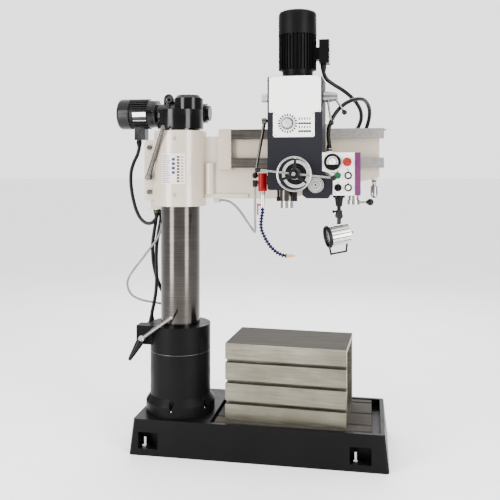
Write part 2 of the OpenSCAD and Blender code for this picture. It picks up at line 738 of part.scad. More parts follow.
module swivel_clamp_lever() {
    hub = [collar_lug_x, collar_lug_front - 28, collar_lug_z];
    rod_end = hub + [170, -64, 122];
    grip_end = hub + [-58, -28, -106];
    grip_l = norm(grip_end - hub);
    color(bright_steel) {
        axle_y(hub.x, hub.z, hub.y - 14, collar_lug_front - slide_gap, 15);
        axle_y(hub.x, hub.z, hub.y, -30, clamp_screw_r);
        rod(hub, rod_end, lever_r + 5, lever_r + 4);
        ball(rod_end, lever_r + 5.5);
    }
    color(black_plastic) from_to(hub, grip_end) rotate_extrude() polygon([[0, 0], [8, 0], [19, 0.13 * grip_l],
        [20, 0.22 * grip_l], [18, 0.36 * grip_l], [10, 0.92 * grip_l], [7, grip_l], [0, grip_l + 3]]);
}

// The arm: sleeve on the column, tapering beam and clamping lugs
arm_root_low = rail_top - arm_root_h;
arm_tip_low = rail_top - arm_tip_h;
end_block_w = 65;
nut_low = sleeve_bottom + 100;
nut_h = 120;
nut_r = 30;
lug_bolt_r = 7;
lug_bolt_z = [lug_bottom + 42, lug_top - 38];
swing_x = arm_reach - 26;
swing_y = 30;
swing_top = arm_tip_low - 16;
supply_block = 30;
module arm_casting() {
    root_x = 60;
    core_x = 180;
    core_step = 200;
    core_w = 150;
    core_h = 200;
    core_depth = 100;
    color(cream_paint) difference() {
        union() {
            post(0, 0, sleeve_bottom, sleeve_top, sleeve_r);
            slab(-arm_front, arm_back) polygon([[root_x, arm_root_low], [taper_start, arm_root_low],
                [arm_reach, arm_tip_low], [arm_reach, arm_top], [rail_start - end_block_w, arm_top],
                [rail_start - end_block_w, arm_top - 8], [root_x, arm_top - 8]]);
            block([rail_start - end_block_w, rail_front, low_rail_bottom - 8],
                [rail_start - seat_gap, 0, rail_top + 3]);
            slab(-arm_front - 8, 0) polygon([[sleeve_r, arm_root_low], [taper_start - 200, arm_root_low],
                [taper_start - 200, arm_root_low + 22], [sleeve_r, arm_root_low + 22]]);
            post(sleeve_r + 29, -arm_front, arm_root_low + 21, low_rail_top - 25, 24);
            block([-lug_reach, -lug_t / 2, lug_bottom], [-column_r - 10, lug_t / 2, lug_top]);
            post(screw_x, screw_y, nut_low, nut_low + nut_h, nut_r + 16);
            block([screw_x - nut_r - 10, column_r + 10, nut_low],
                [screw_x + nut_r + 10, screw_y, nut_low + nut_h]);
            translate(block_min) cube(block_size);
            for (p = cable_glands) post(p.x, p.y, block_z - gland_h, block_z + 1, cable_r + 4);
            post(hose_gland.x, hose_gland.y, block_z - gland_h, block_z + 1, hose_r + 4);
            block([supply_port.x - supply_block, supply_port.y - 12, supply_port.z - 12],
                [supply_port.x, supply_port.y + 12, arm_root_low + 1]);
            post(swing_x, swing_y, swing_top, arm_tip_low + 20, 15);
        }
        post(0, 0, sleeve_bottom - 25, sleeve_top + 1, column_r + running_fit);
        block([-lug_reach - 1, -slit_w / 2, sleeve_bottom - 1], [-column_r + 10, slit_w / 2, sleeve_top + 1]);
        post(screw_x, screw_y, nut_low - 1, nut_low + nut_h + 1, nut_r + seat_gap);
        for (k = [0 : 2]) translate([core_x + k * core_step, arm_back - core_depth, arm_top - 50 - core_h])
            cube([core_w, core_depth + 1, core_h]);
        for (z = lug_bolt_z) axle_y(clamp_x, z, -lug_t, lug_t, lug_bolt_r + seat_gap);
        axle_y(clamp_x, clamp_z, -lug_t, lug_t, clamp_screw_r + running_fit);
    }
}

module guide_rails() {
    stop_r = 5;
    color(bare_steel) {
        block([rail_start, rail_front, rail_top - rail_h], [rail_reach, -arm_front, rail_top]);
        block([rail_start, rail_front, low_rail_bottom], [rail_reach, -arm_front, low_rail_top]);
        axle_x(rail_front + rail_proud / 2, rail_top - 8, rail_reach, rail_reach + 10, stop_r);
    }
}

// Rack under the lower slideway, with a gap over the pinion's axis
rack_front = rail_front + 6;
rack_tip_z = head_z + traverse_r - traverse_module;
module traverse_rack() {
    pitch = PI * traverse_module;
    half_count = 29;
    axis_x = spindle_x + feed_x;
    half_l = (half_count + 0.5) * pitch;
    color(bare_steel) difference() {
        block([axis_x - half_l, rack_front, rack_tip_z], [axis_x + half_l, -arm_front, low_rail_bottom]);
        slab(rack_front - 1, -arm_front + 1) for (k = [-half_count : half_count])
            translate([axis_x + k * pitch, rack_tip_z]) mirror([0, 1]) rack_gap(traverse_module);
    }
}

module lift_nut() {
    color(bronze) difference() {
        union() {
            post(screw_x, screw_y, nut_low, nut_low + nut_h, nut_r);
            post(screw_x, screw_y, nut_low - 12, nut_low, nut_r + 5);
        }
        post(screw_x, screw_y, nut_low - 13, nut_low + nut_h + 1, screw_r + running_fit);
    }
}

grip_top = swing_top - 8;
grip_low = swing_top - 82;
stud_r = 6;
module arm_bolts() {
    color(bright_steel) {
        for (z = lug_bolt_z) {
            axle_y(clamp_x, z, -lug_t / 2, lug_t / 2 + 18, lug_bolt_r);
            axle_y(clamp_x, z, -lug_t / 2 - 12, -lug_t / 2, lug_bolt_r * 1.7);
            axle_y(clamp_x, z, lug_t / 2, lug_t / 2 + 12, lug_bolt_r * 1.8, $fn = 6);
        }
        post(swing_x, swing_y, grip_top + slide_gap, swing_top, 11);
        post(swing_x, swing_y, grip_low - slide_gap, swing_top, stud_r);
        post(swing_x, swing_y, grip_low - slide_gap - 5, grip_low - slide_gap, 9);
    }
}

module swing_grip() {
    color(bright_steel) translate([swing_x, swing_y, grip_low]) rotate_extrude()
        polygon([[stud_r + running_fit, 0], [14, 0], [17, 3], [18, 20], [17, 50], [14, 54], [9, 58],
            [8.5, 64], [13, grip_top - grip_low], [stud_r + running_fit, grip_top - grip_low]]);
}

// Junction box behind the arm's tip
junction = [[840, 1446], [972, 1556]];
module arm_junction_box() {
    junction_d = 46;
    color(grey_paint) {
        block([junction[0].x, arm_back, junction[0].y],
            [junction[1].x, arm_back + junction_d, junction[1].y]);
        for (p = [route_end(motor_cable_route), route_end(control_cable_route)])
            post(p.x, p.y, junction[1].y - 1, p.z, cable_r + 4);
    }
}

module arm_clamp_lever() {
    hub = [clamp_x, -lug_t / 2 - 22, clamp_z];
    rod_end = hub + [105, -84, 248];
    color(bright_steel) {
        axle_y(hub.x, hub.z, hub.y - 14, -lug_t / 2 - slide_gap, 15);
        axle_y(hub.x, hub.z, hub.y, lug_t / 2 - 5, clamp_screw_r);
        rod(hub, rod_end, lever_r + 8.5, lever_r + 4);
        ball(rod_end, lever_r + 9);
    }
}

// The head, in coordinates from the spindle axis at the height of the feed axis
lobe = [[head_right - 1, 0], [head_right + 2, 0], [222, -18], [224, -81], [202, -112], [106, -112], [87, -98],
    [87, -60], [head_right - 1, -20]];
lobe_depth = 110;
boss_drop = 2;
boss_wall = 12;
lever_shaft_r = 12;
lock_shaft_r = 8;
dial_place = [20, 231];
dial_shaft_r = 6;
clamp_stud_r = 9;
clamp_bracket_z = [-102, -60];
sleeve_out_r = 22;
// Boss round the quill under the head, open at the front and notched at the left
module quill_boss() {
    out = quill_r + boss_wall;
    low = -quill_drop - boss_drop;
    difference() {
        post(0, 0, low, -head_drop + 1, out);
        block([-out - 1, -out - 1, low - 1], [out + 1, -0.55 * quill_r, -head_drop]);
        block([-out - 1, -out - 1, low + 20], [-0.8 * quill_r, 0.3 * quill_r, -head_drop]);
    }
}

module head_casting() {
    edge = 7;
    gear_room = [[-head_left + head_wall, -head_front + 30, gear_floor],
        [head_right - head_wall, head_back - head_wall, head_rise - head_wall]];
    bearing_z = head_rise - head_wall - 24;
    color(grey_paint) at_head() difference() {
        union() {
            slab(-head_front, head_back)
                polygon(chamfered(-head_left, -head_drop, head_right, head_rise, edge));
            slab(-head_front, -head_front + lobe_depth) polygon(lobe);
            quill_boss();
            axle_x(speed_y, speed_z, -head_left - 41, -head_left + 1, 21);
            axle_x(speed_y, speed_z, head_right - 1, head_right + 66, lever_shaft_r);
            axle_x(lock_y, lock_z, -head_left - 42, -head_left + 1, lock_shaft_r);
            block([head_right - 1, head_clamp_y - 25, clamp_bracket_z[0]],
                [head_clamp_x + 30, head_clamp_y + 25, clamp_bracket_z[1]]);
            block([-head_left - 12, valve_y - 14, -50], [-head_left + 1, valve_y + 14, -10]);
        }
        post(0, 0, -quill_drop - boss_drop - 1, gear_floor + 1, quill_r + running_fit);
        difference() {
            block(gear_room[0], gear_room[1]);
            difference() {
                post(0, 0, bearing_z, head_rise, sleeve_out_r + 10);
                post(0, 0, bearing_z - 1, head_rise - head_wall, sleeve_out_r + running_fit);
            }
        }
        post(motor_x, 0, head_rise - head_wall - 1, head_rise + 1, 26);
        axle_y(feed_x, 0, -head_front - 1, -14, feed_shaft_r + running_fit);
        axle_y(feed_x, 0, -15, 15, feed_r + feed_module + 1.5);
        axle_y(feed_x, 0, 14, head_back + 1, traverse_shaft_r + running_fit);
        axle_y(dial_place.x, dial_place.y, -head_front - 1, -head_front + 22, dial_shaft_r + running_fit);
        post(head_clamp_x, head_clamp_y, clamp_bracket_z[0] - 1, clamp_bracket_z[1] + 1,
            clamp_stud_r + running_fit);
    }
}

saddle_top = rail_top + 20;
module head_saddle() {
    saddle_x = [spindle_x - 92, spindle_x + 196];
    lip = 14;
    color(cream_paint) difference() {
        union() {
            block([saddle_x[0], saddle_front, head_z - 60],
                [saddle_x[1], rail_front - slide_gap, saddle_top]);
            block([saddle_x[0], saddle_front, rail_top + slide_gap],
                [saddle_x[1], -arm_front + lip, saddle_top]);
            block([saddle_x[0], -arm_front + slide_gap, arm_top + 1],
                [saddle_x[1], -arm_front + lip, saddle_top]);
        }
        axle_y(spindle_x + feed_x, head_z, saddle_front - 1, rail_front + 1, traverse_shaft_r + running_fit);
    }
}

frame_low = head_rise + motor_flange_h;
frame_high = frame_low + motor_body_h;
rotor_r = 50;
shaft_r = 12;
module spindle_motor() {
    gland = motor_cable_route[0] - [spindle_x, -spindle_y, head_z];
    box_low = [motor_x + 105, -42, gland.z + gland_h];
    box_high = [motor_x + 152, 42, gland.z + gland_h + 110];
    color(black_paint) at_head() difference() {
        union() {
            translate([motor_x, 0, frame_low]) finned_frame(motor_r, motor_body_h, rotor_r + 3);
            difference() {
                post(motor_x, 0, head_rise, frame_low, motor_r - 19, motor_r - 16);
                post(motor_x, 0, head_rise + 12, frame_low + 1, rotor_r + 3);
            }
            difference() {
                union() {
                    block(box_low, box_high);
                    block([motor_x + 60, -28, box_low.z + 18], [box_low.x + 1, 28, box_high.z - 35]);
                    post(gland.x, gland.y, gland.z + 2 * seat_gap, box_low.z + 1, cable_r + 4);
                }
                post(motor_x, 0, head_rise, frame_high + 1, motor_r - 12);
            }
        }
        post(motor_x, 0, head_rise - 1, head_rise + 13, shaft_r + running_fit);
    }
}

module motor_fan_cover() {
    color(black_paint) at_head() translate([motor_x, 0, frame_high]) fan_cover(motor_r + 1, motor_cover_h);
}

module motor_rotor() {
    fan_z = frame_high + 24;
    color(bare_steel) at_head() translate([motor_x, 0, 0]) {
        translate([0, 0, gear_floor + slide_gap]) rotate(180 / motor_teeth)
            gear(drive_module, motor_teeth, gear_w);
        post(0, 0, gear_floor + slide_gap, fan_z + 20, shaft_r);
        post(0, 0, frame_low + 14, frame_high - 14, rotor_r);
        post(0, 0, fan_z, fan_z + 10, motor_r - 22);
    }
}

module drive_gear() {
    color(bare_steel) at_head() difference() {
        union() {
            translate([0, 0, gear_floor + slide_gap]) rotate(180 / drive_teeth)
                gear(drive_module, drive_teeth, gear_w);
            post(0, 0, gear_floor + slide_gap, head_rise - head_wall - slide_gap, sleeve_out_r);
        }
        post(0, 0, gear_floor - 1, head_rise, spline_r + running_fit);
    }
}

module quill() {
    pitch = PI * feed_module;
    gaps = floor((quill_travel + 24) / pitch);
    color(bright_steel) at_head() difference() {
        post(0, 0, -quill_drop, quill_top, quill_r);
        post(0, 0, -quill_drop - 1, quill_top + 1, spindle_r + running_fit);
        block([rack_tip_x, -quill_r, -2.5 * pitch], [quill_r + 1, quill_r, quill_top + 1]);
        slab(-quill_r, quill_r) for (k = [-1 : gaps]) translate([rack_tip_x, k * pitch]) rotate(-90)
            rack_gap(feed_module);
    }
}

module spindle() {
    shoulder = -quill_drop - slide_gap;
    nose_low = shoulder - nose_h;
    color(bright_steel) at_head() difference() {
        union() {
            post(0, 0, nose_low, shoulder, nose_r);
            post(0, 0, shoulder - 1, quill_top, spindle_r);
            post(0, 0, quill_top - 1, spindle_top, spline_r);
        }
        post(0, 0, nose_low, nose_low + taper_depth, taper_mouth_r, taper_end_r);
    }
}

// Feed shaft with its pinion, hub and levers, hollow for the traverse shaft
hub_back = -head_front - 18;
dial_front = hub_back - 22;
hub_front = dial_front - 38;
lever_plane = dial_front - 20;
wheel_back = hub_front - 22;
module feed_pinion() {
    pinion_w = 24;
    color(bare_steel) at_head() difference() {
        union() {
            axle_y(feed_x, 0, hub_back, pinion_w / 2, feed_shaft_r);
            slab(-pinion_w / 2, pinion_w / 2) translate([feed_x, 0]) rotate(180 / feed_teeth)
                polygon(gear_points(feed_module, feed_teeth));
        }
        axle_y(feed_x, 0, hub_back - 1, pinion_w, traverse_shaft_r + running_fit);
    }
}

module feed_hub() {
    hub_r = 26;
    color(bright_steel) at_head() difference() {
        union() {
            axle_y(feed_x, 0, dial_front, hub_back, 49);
            axle_y(feed_x, 0, hub_front, dial_front, hub_r);
            for (a = [feed_lever_tilt, feed_lever_tilt + 180]) translate([feed_x, lever_plane, 0]) {
                out = [cos(a), 0, sin(a)];
                rod(hub_r * 0.7 * out, feed_lever_l * out, lever_r);
                ball(feed_lever_l * out, knob_r);
            }
        }
        axle_y(feed_x, 0, hub_front - 1, hub_back + 1, traverse_shaft_r + running_fit);
    }
}

module traverse_shaft() {
    pinion_back = spindle_y - arm_front - 5;
    pinion_w = 18;
    color(bare_steel) at_head() {
        axle_y(feed_x, 0, wheel_back, pinion_back, traverse_shaft_r);
        slab(pinion_back - pinion_w, pinion_back) translate([feed_x, 0]) rotate(90)
            polygon(gear_points(traverse_module, traverse_teeth));
    }
}

module traverse_wheel() {
    hub_r = 22;
    hub_l = 28;
    rim_y = wheel_back - 12;
    color(bright_steel) at_head() translate([feed_x, 0, 0]) {
        axle_y(0, 0, wheel_back - hub_l, wheel_back, hub_r);
        translate([0, rim_y, 0]) rotate([90, 0, 0]) rotate_extrude() translate([wheel_rim_r - rim_bar_r, 0])
            circle(rim_bar_r);
        for (a = [85, 205, 325]) {
            out = [cos(a), 0, sin(a)];
            rod([0, rim_y, 0] + (hub_r - 6) * out, [0, rim_y, 0] + (wheel_rim_r - rim_bar_r) * out, 8, 4.5);
        }
    }
}

module spring_cover() {
    place = [149, -50];
    color(bright_steel) at_head() {
        axle_y(place.x, place.y, -head_front - 12, -head_front, 36);
        axle_y(place.x, place.y, -head_front - 18, -head_front - 12, 21);
    }
}

module feed_dial() {
    dial_back = -head_front - 3;
    color(bright_steel) at_head() {
        axle_y(dial_place.x, dial_place.y, dial_back - 6, dial_back, dial_r);
        axle_y(dial_place.x, dial_place.y, dial_back - 26, dial_back - 6, dial_r - 6);
        axle_y(dial_place.x, dial_place.y, dial_back, -head_front + 20, dial_shaft_r);
    }
}

// Control box beside the head and what is set in its panel
stem_r = 8;
stem_depth = 20;
button_gap = 9;
stop_place = [head_right + 113, 54];
meter_place = [head_right + 46, 54];
button_place = [[head_right + 69, -7], [head_right + 117, -7], [head_right + 117, -62],
    [head_right + 71, -62]];
module control_box() {
    notch = 48;
    gland = control_cable_route[0] - [spindle_x, -spindle_y, head_z];
    color(white_paint) at_head() difference() {
        union() {
            slab(panel_front, panel_front + panel_d) polygon([[panel_left, panel_h / 2], [panel_left, 14],
                [panel_left + notch - 20, 6], [panel_left + notch, -12], [panel_left + notch, panel_bottom],
                [panel_right, panel_bottom], [panel_right, panel_h / 2]]);
            post(gland.x, gland.y, panel_h / 2 - 1, gland.z, cable_r + 4);
        }
        for (p = concat([stop_place], button_place))
            axle_y(p.x, p.y, panel_front - 1, panel_front + stem_depth + 8, stem_r + running_fit);
    }
}

module panel_meter() {
    color(black_plastic) at_head() axle_y(meter_place.x, meter_place.y, panel_front - 9, panel_front, 38);
}

module push_button(place, r, h, paint) {
    color(paint) at_head() {
        axle_y(place.x, place.y, panel_front - button_gap - h, panel_front - button_gap, r);
        axle_y(place.x, place.y, panel_front - button_gap, panel_front + stem_depth, stem_r);
    }
}
module estop_button() { push_button(stop_place, 20, 16, "#c01f24"); }
module start_button() { push_button(button_place[0], 12, 5, "#1f9c4b"); }
module upper_button() { push_button(button_place[1], 13, 5, white_paint); }
module lower_button() { push_button(button_place[2], 13, 5, white_paint); }
module selector_switch() {
    p = button_place[3];
    color(black_plastic) at_head() {
        axle_y(p.x, p.y, panel_front - 8, panel_front - slide_gap, 14);
        block([p.x - 4, panel_front - 22, p.y - 13], [p.x + 4, panel_front - 7, p.y + 13]);
        axle_y(p.x, p.y, panel_front - 8, panel_front + stem_depth, stem_r);
    }
}

// Levers on the sides of the head
module speed_lever(x_low, x_high, r1, r2, reach) {
    hub = [(x_low + x_high) / 2, speed_y, speed_z];
    out = unit([reach.x, reach.y, reach.z]);
    color(bright_steel) at_head() difference() {
        union() {
            axle_x(speed_y, speed_z, x_low, x_high, r1, r2);
            rod(hub + 14 * out, hub + reach, lever_r);
            ball(hub + reach, knob_r);
        }
        axle_x(speed_y, speed_z, x_low - 1, x_high + 1, lever_shaft_r + running_fit);
    }
}
module speed_lever_inner() {
    speed_lever(head_right + slide_gap, head_right + 32, 27, 25, [24, -90, -128]);
}
module speed_lever_outer() {
    speed_lever(head_right + 32 + slide_gap, head_right + 64, 24, 18, [50, -55, -78]);
}

module head_lock_lever() {
    x_low = -head_left - 40;
    hub = [x_low + 10, lock_y, lock_z];
    knob = hub + [-44, -4, -260];
    color(bright_steel) at_head() difference() {
        union() {
            axle_x(lock_y, lock_z, x_low, x_low + 20, 15);
            rod(hub + [0, 0, -10], knob, lever_r + 3, lever_r + 1);
            ball(knob, knob_r + 2);
        }
        axle_x(lock_y, lock_z, x_low - 1, x_low + 21, lock_shaft_r + running_fit);
    }
}

module head_clamp_lever() {
    top = clamp_bracket_z[0] - slide_gap;
    hub = [head_clamp_x, head_clamp_y, top - 34];
    knob = hub + [78, -10, 2];
    color(bright_steel) at_head() {
        post(hub.x, hub.y, top - 22, top, 25);
        post(hub.x, hub.y, top - 44, top - 22, 30);
        post(hub.x, hub.y, top - 1, clamp_bracket_z[1] - 2, clamp_stud_r);
        rod(hub + [20, -2, 0], knob, lever_r);
        ball(knob, knob_r + 1);
    }
}

// Coolant valve on the left of the head, its handle and its jointed hose
valve_low = coolant_route[0].z - head_z;
handle_z = valve_low + 12;
module coolant_valve() {
    inlet = route_end(supply_route) - [spindle_x, -spindle_y, head_z];
    color("#b3262b") at_head() difference() {
        union() {
            post(valve_x, valve_y, -82, 3, 21);
            block([valve_x, valve_y - 12, -45], [-head_left - 12, valve_y + 12, -15]);
            post(inlet.x, inlet.y, inlet.z + seat_gap, inlet.z + 32, 12);
            axle_x(valve_y, inlet.z + 20, inlet.x, valve_x - 15, 8);
            post(valve_x, valve_y, -100, -80, 13, $fn = 6);
            post(valve_x, valve_y, valve_low, -98, 10);
        }
        axle_x(valve_y, handle_z, valve_x - 20, valve_x - 2, 4 + running_fit);
    }
}

module valve_handle() {
    lever_x = valve_x - 20;
    color("#b3262b") at_head() {
        axle_x(valve_y, handle_z, lever_x, valve_x - 2.5, 4);
        block([lever_x - 5, valve_y - 6, handle_z - 48], [lever_x, valve_y + 6, handle_z + 8]);
    }
}

module coolant_hose() {
    tip = route_end(coolant_route) + [seat_gap, 0, 0];
    color(blue_plastic) linked_hose(coolant_route, 24, 6.8, 8.6, 4);
    color("#d9762b") difference() {
        rod(tip, tip + [38, 0, 2], 8, 4);
        rod(tip - [1, 0, 0], tip + [40, 0, 2.1], 3, 2);
    }
}

// Work lamp under the control box
lamp_stem_top = panel_bottom - 52;
module lamp_base() {
    color(black_plastic) at_head() {
        post(lamp_x, lamp_y, panel_bottom - 12, panel_bottom, 28);
        post(lamp_x, lamp_y, lamp_stem_top, panel_bottom - 12, 14, 20);
    }
}

// Fork on the lamp's stem, and the pin that the lamp tilts on
lamp_yaw = 21;
pin_r = 5;
tongue_t = 13;
tongue_r = 12.5;
module lamp_arm() {
    cheek = 16;
    bridge_low = tongue_r + 3;
    bridge_top = 26;
    slot = tongue_t / 2 + 0.4;
    color(black_plastic) at_head() translate([lamp_x, lamp_y, lamp_joint_z]) rotate(lamp_yaw) {
        difference() {
            union() {
                axle_y(0, 0, -cheek, cheek, 14);
                block([-11, -cheek, 0], [11, cheek, bridge_top]);
            }
            block([-15, -slot, -15], [15, slot, bridge_low]);
        }
        post(0, 0, bridge_top - 1, lamp_stem_top - slide_gap - lamp_joint_z, 9);
        axle_y(0, 0, -slot - 1, slot + 1, pin_r);
        axle_x(0, 20, -26, -10, 4);
        ball([-26, 0, 20], 7);
    }
}

// Outline of the lamp's body: wide ribs parted by narrow grooves
lamp_r = 46;
lamp_ribs = 16;
lamp_groove = 3;
function lamp_outline() = [for (i = [0 : lamp_ribs - 1]) let (a = 360 * i / lamp_ribs)
    each [for (p = [[-8.5, 0], [-4, 0], [0, 0], [4, 0], [8.5, 0], [9.5, lamp_groove], [13, lamp_groove]])
        (lamp_r - p[1]) * [cos(a + p[0]), sin(a + p[0])]]];

module lamp_head() {
    lamp_tilt = -10;
    drop = 86;
    front = -64;
    back = 40;
    bezel_back = -54;
    lens_x = -48;
    guard_r = 4.5;
    guard = [[-59, 0, -lamp_r - 3], [-58, 0, -80], [16, 0, -81], [28, 0, -lamp_r + 4]];
    color(silver_paint) at_head() translate([lamp_x, lamp_y, lamp_joint_z]) rotate(lamp_yaw) {
        difference() {
            union() {
                axle_y(0, 0, -tongue_t / 2, tongue_t / 2, tongue_r);
                block([-8, -tongue_t / 2, -drop + lamp_r - 14], [8, tongue_t / 2, -4]);
            }
            axle_y(0, 0, -tongue_t, tongue_t, pin_r + running_fit);
        }
        translate([5, 0, -drop]) rotate([0, lamp_tilt, 0]) {
            difference() {
                union() {
                    translate([bezel_back - 1, 0, 0]) rotate([0, 90, 0])
                        linear_extrude(back - bezel_back + 1) polygon(lamp_outline());
                    rotate([0, 90, 0]) rotate_extrude() polygon([[0, front], [lamp_r + 4, front],
                        [lamp_r + 6, front + 2], [lamp_r + 6, bezel_back], [0, bezel_back]]);
                }
                axle_x(0, 0, front - 1, lens_x, lamp_r, lamp_r - 6);
            }
            axle_x(0, 0, back - 1, back + 16, 11, 8);
            axle_x(0, 0, back + 15, back + 24, 4);
            for (i = [0 : 2]) rod(guard[i], guard[i + 1], guard_r);
            for (i = [1, 2]) ball(guard[i], guard_r + 0.5);
        }
    }
}

module lift_motor_cable() { color(black_plastic) tube(lift_cable_route, cable_r); }
module column_cable_front() { color(black_plastic) tube(front_cable_route, cable_r); }
module column_cable_rear() { color(black_plastic) tube(rear_cable_route, cable_r); }
module column_hose() { color(silver_paint) tube(column_hose_route, hose_r); }
module spindle_motor_cable() { color(black_plastic) tube(motor_cable_route, cable_r); }
module control_cable() { color(black_plastic) tube(control_cable_route, cable_r); }
module coolant_supply_hose() { color(silver_paint) tube(supply_route, hose_r); }

base_casting();
base_bolts();
box_table();
column_stand();
stand_bearings();
column_tube();
swivel_collar();
gear_housing();
gear_cover();
lift_motor();
lift_fan_cover();
lift_screw();
worm_wheel();
swivel_clamp_lever();
arm_casting();
guide_rails();
traverse_rack();
lift_nut();
arm_bolts();
arm_junction_box();
arm_clamp_lever();
swing_grip();
head_casting();
head_saddle();
spindle_motor();
motor_fan_cover();
motor_rotor();
drive_gear();
quill();
spindle();
feed_pinion();
feed_hub();
traverse_shaft();
traverse_wheel();
spring_cover();
feed_dial();
control_box();
panel_meter();
estop_button();
start_button();
upper_button();
lower_button();
selector_switch();
speed_lever_outer();
speed_lever_inner();
head_lock_lever();
head_clamp_lever();
coolant_valve();
valve_handle();
coolant_hose();
lamp_base();
lamp_arm();
lamp_head();
lift_motor_cable();
column_cable_front();
column_cable_rear();
column_hose();
spindle_motor_cable();
control_cable();
coolant_supply_hose();
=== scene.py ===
"""A radial arm drill: camera, light, materials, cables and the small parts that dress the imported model."""
import bpy
import math
from mathutils import Matrix, Vector


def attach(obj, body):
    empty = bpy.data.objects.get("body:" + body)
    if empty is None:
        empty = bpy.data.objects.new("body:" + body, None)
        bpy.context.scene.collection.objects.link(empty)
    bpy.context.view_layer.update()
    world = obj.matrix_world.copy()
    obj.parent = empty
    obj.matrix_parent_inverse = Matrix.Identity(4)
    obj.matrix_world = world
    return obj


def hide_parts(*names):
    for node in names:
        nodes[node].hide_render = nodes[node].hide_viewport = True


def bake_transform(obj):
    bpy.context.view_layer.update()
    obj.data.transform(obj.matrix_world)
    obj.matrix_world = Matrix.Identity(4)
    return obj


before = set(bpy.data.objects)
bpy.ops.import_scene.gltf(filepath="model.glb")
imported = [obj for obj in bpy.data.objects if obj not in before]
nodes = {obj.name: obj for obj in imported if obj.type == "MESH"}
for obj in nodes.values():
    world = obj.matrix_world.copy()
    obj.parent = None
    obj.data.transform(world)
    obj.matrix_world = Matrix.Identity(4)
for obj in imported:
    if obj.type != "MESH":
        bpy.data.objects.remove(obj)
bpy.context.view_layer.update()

RIGHT = Vector((1, 0, 0))
FRONT = Vector((0, -1, 0))
UP = Vector((0, 0, 1))
DOWN = -UP

# Places in metres, in the frame of the model: HEAD is on the spindle's axis, as high as the feed shaft
HEAD = Vector((0.574, -0.165, 1.383975))
HEAD_FRONT = -0.3
FEED_AXIS = HEAD + Vector((0.0615, 0, 0))
SLEEVE_R = 0.134
CABLE_R = 0.0095
HOSE_R = 0.006
LAMP_SWIVEL = Matrix.Rotation(math.radians(21), 3, "Z")
LAMP_TURN = LAMP_SWIVEL @ Matrix.Rotation(math.radians(-10), 3, "Y")
LAMP_AT = HEAD + Vector((0.251, -0.085, -0.193)) + LAMP_SWIVEL @ Vector((0.005, 0, -0.086))
LAMP_FACING = LAMP_TURN @ -RIGHT

# Places on the head's front: x and z in millimetres from HEAD
DIAL = (20, 231)
SPRING = (149, -50)
METER = (224, 54)
STOP = (291, 54)
START = (247, -7)
UPPER = (295, -7)
LOWER = (295, -62)
SELECTOR = (249, -62)

# How far forward things on the head are: y in millimetres from HEAD
PLATE_FACE = -136.2
DIAL_BACK = -145
DIAL_FACE = -164
SPRING_DISC = -147
SPRING_BOSS = -153
METER_FACE = -144.0
PANEL_FACE = -135
BUTTON_FACE = -149
FEED_RING_BACK = -158
FEED_MARKS = -175.1
FEED_LEVERS = -195
WHEEL_CAP_BACK = -263
WHEEL_NUT_BACK = -264.5

# Thin plates and printed marks, in metres
PLATE_DEPTH = 0.0012
PRINT_DEPTH = 0.0004
PLATE_LIFT = 0.0002

# Angles in degrees: edges that turn more than this look sharp
FLAT = 30
TURNED = 40
BALL = 50


def mm(*values):
    """A point given in millimetres."""
    return Vector(values) / 1000


def head(x, y, z):
    """A point given in millimetres from HEAD."""
    return HEAD + mm(x, y, z)


def on_front(place, y):
    """A point in line with a place on the head's front, y millimetres from HEAD."""
    return head(place[0], y, place[1])


# Camera
camera = bpy.data.objects.new("camera", bpy.data.cameras.new("camera"))
bpy.context.scene.collection.objects.link(camera)
camera.location = mm(976, -3398, 1404)
camera.rotation_euler = (math.radians(90), 0, math.radians(10.2))
camera.data.lens = 48.96
camera.data.shift_y = -0.161
camera.data.clip_end = 100
bpy.context.scene.camera = camera


# Mesh tools
def basis(direction):
    """Two unit vectors square to direction and to each other, and direction as a unit vector."""
    d = Vector(direction).normalized()
    side = UP if abs(d.z) < 0.9 else RIGHT
    a = side.cross(d).normalized()
    return a, d.cross(a), d


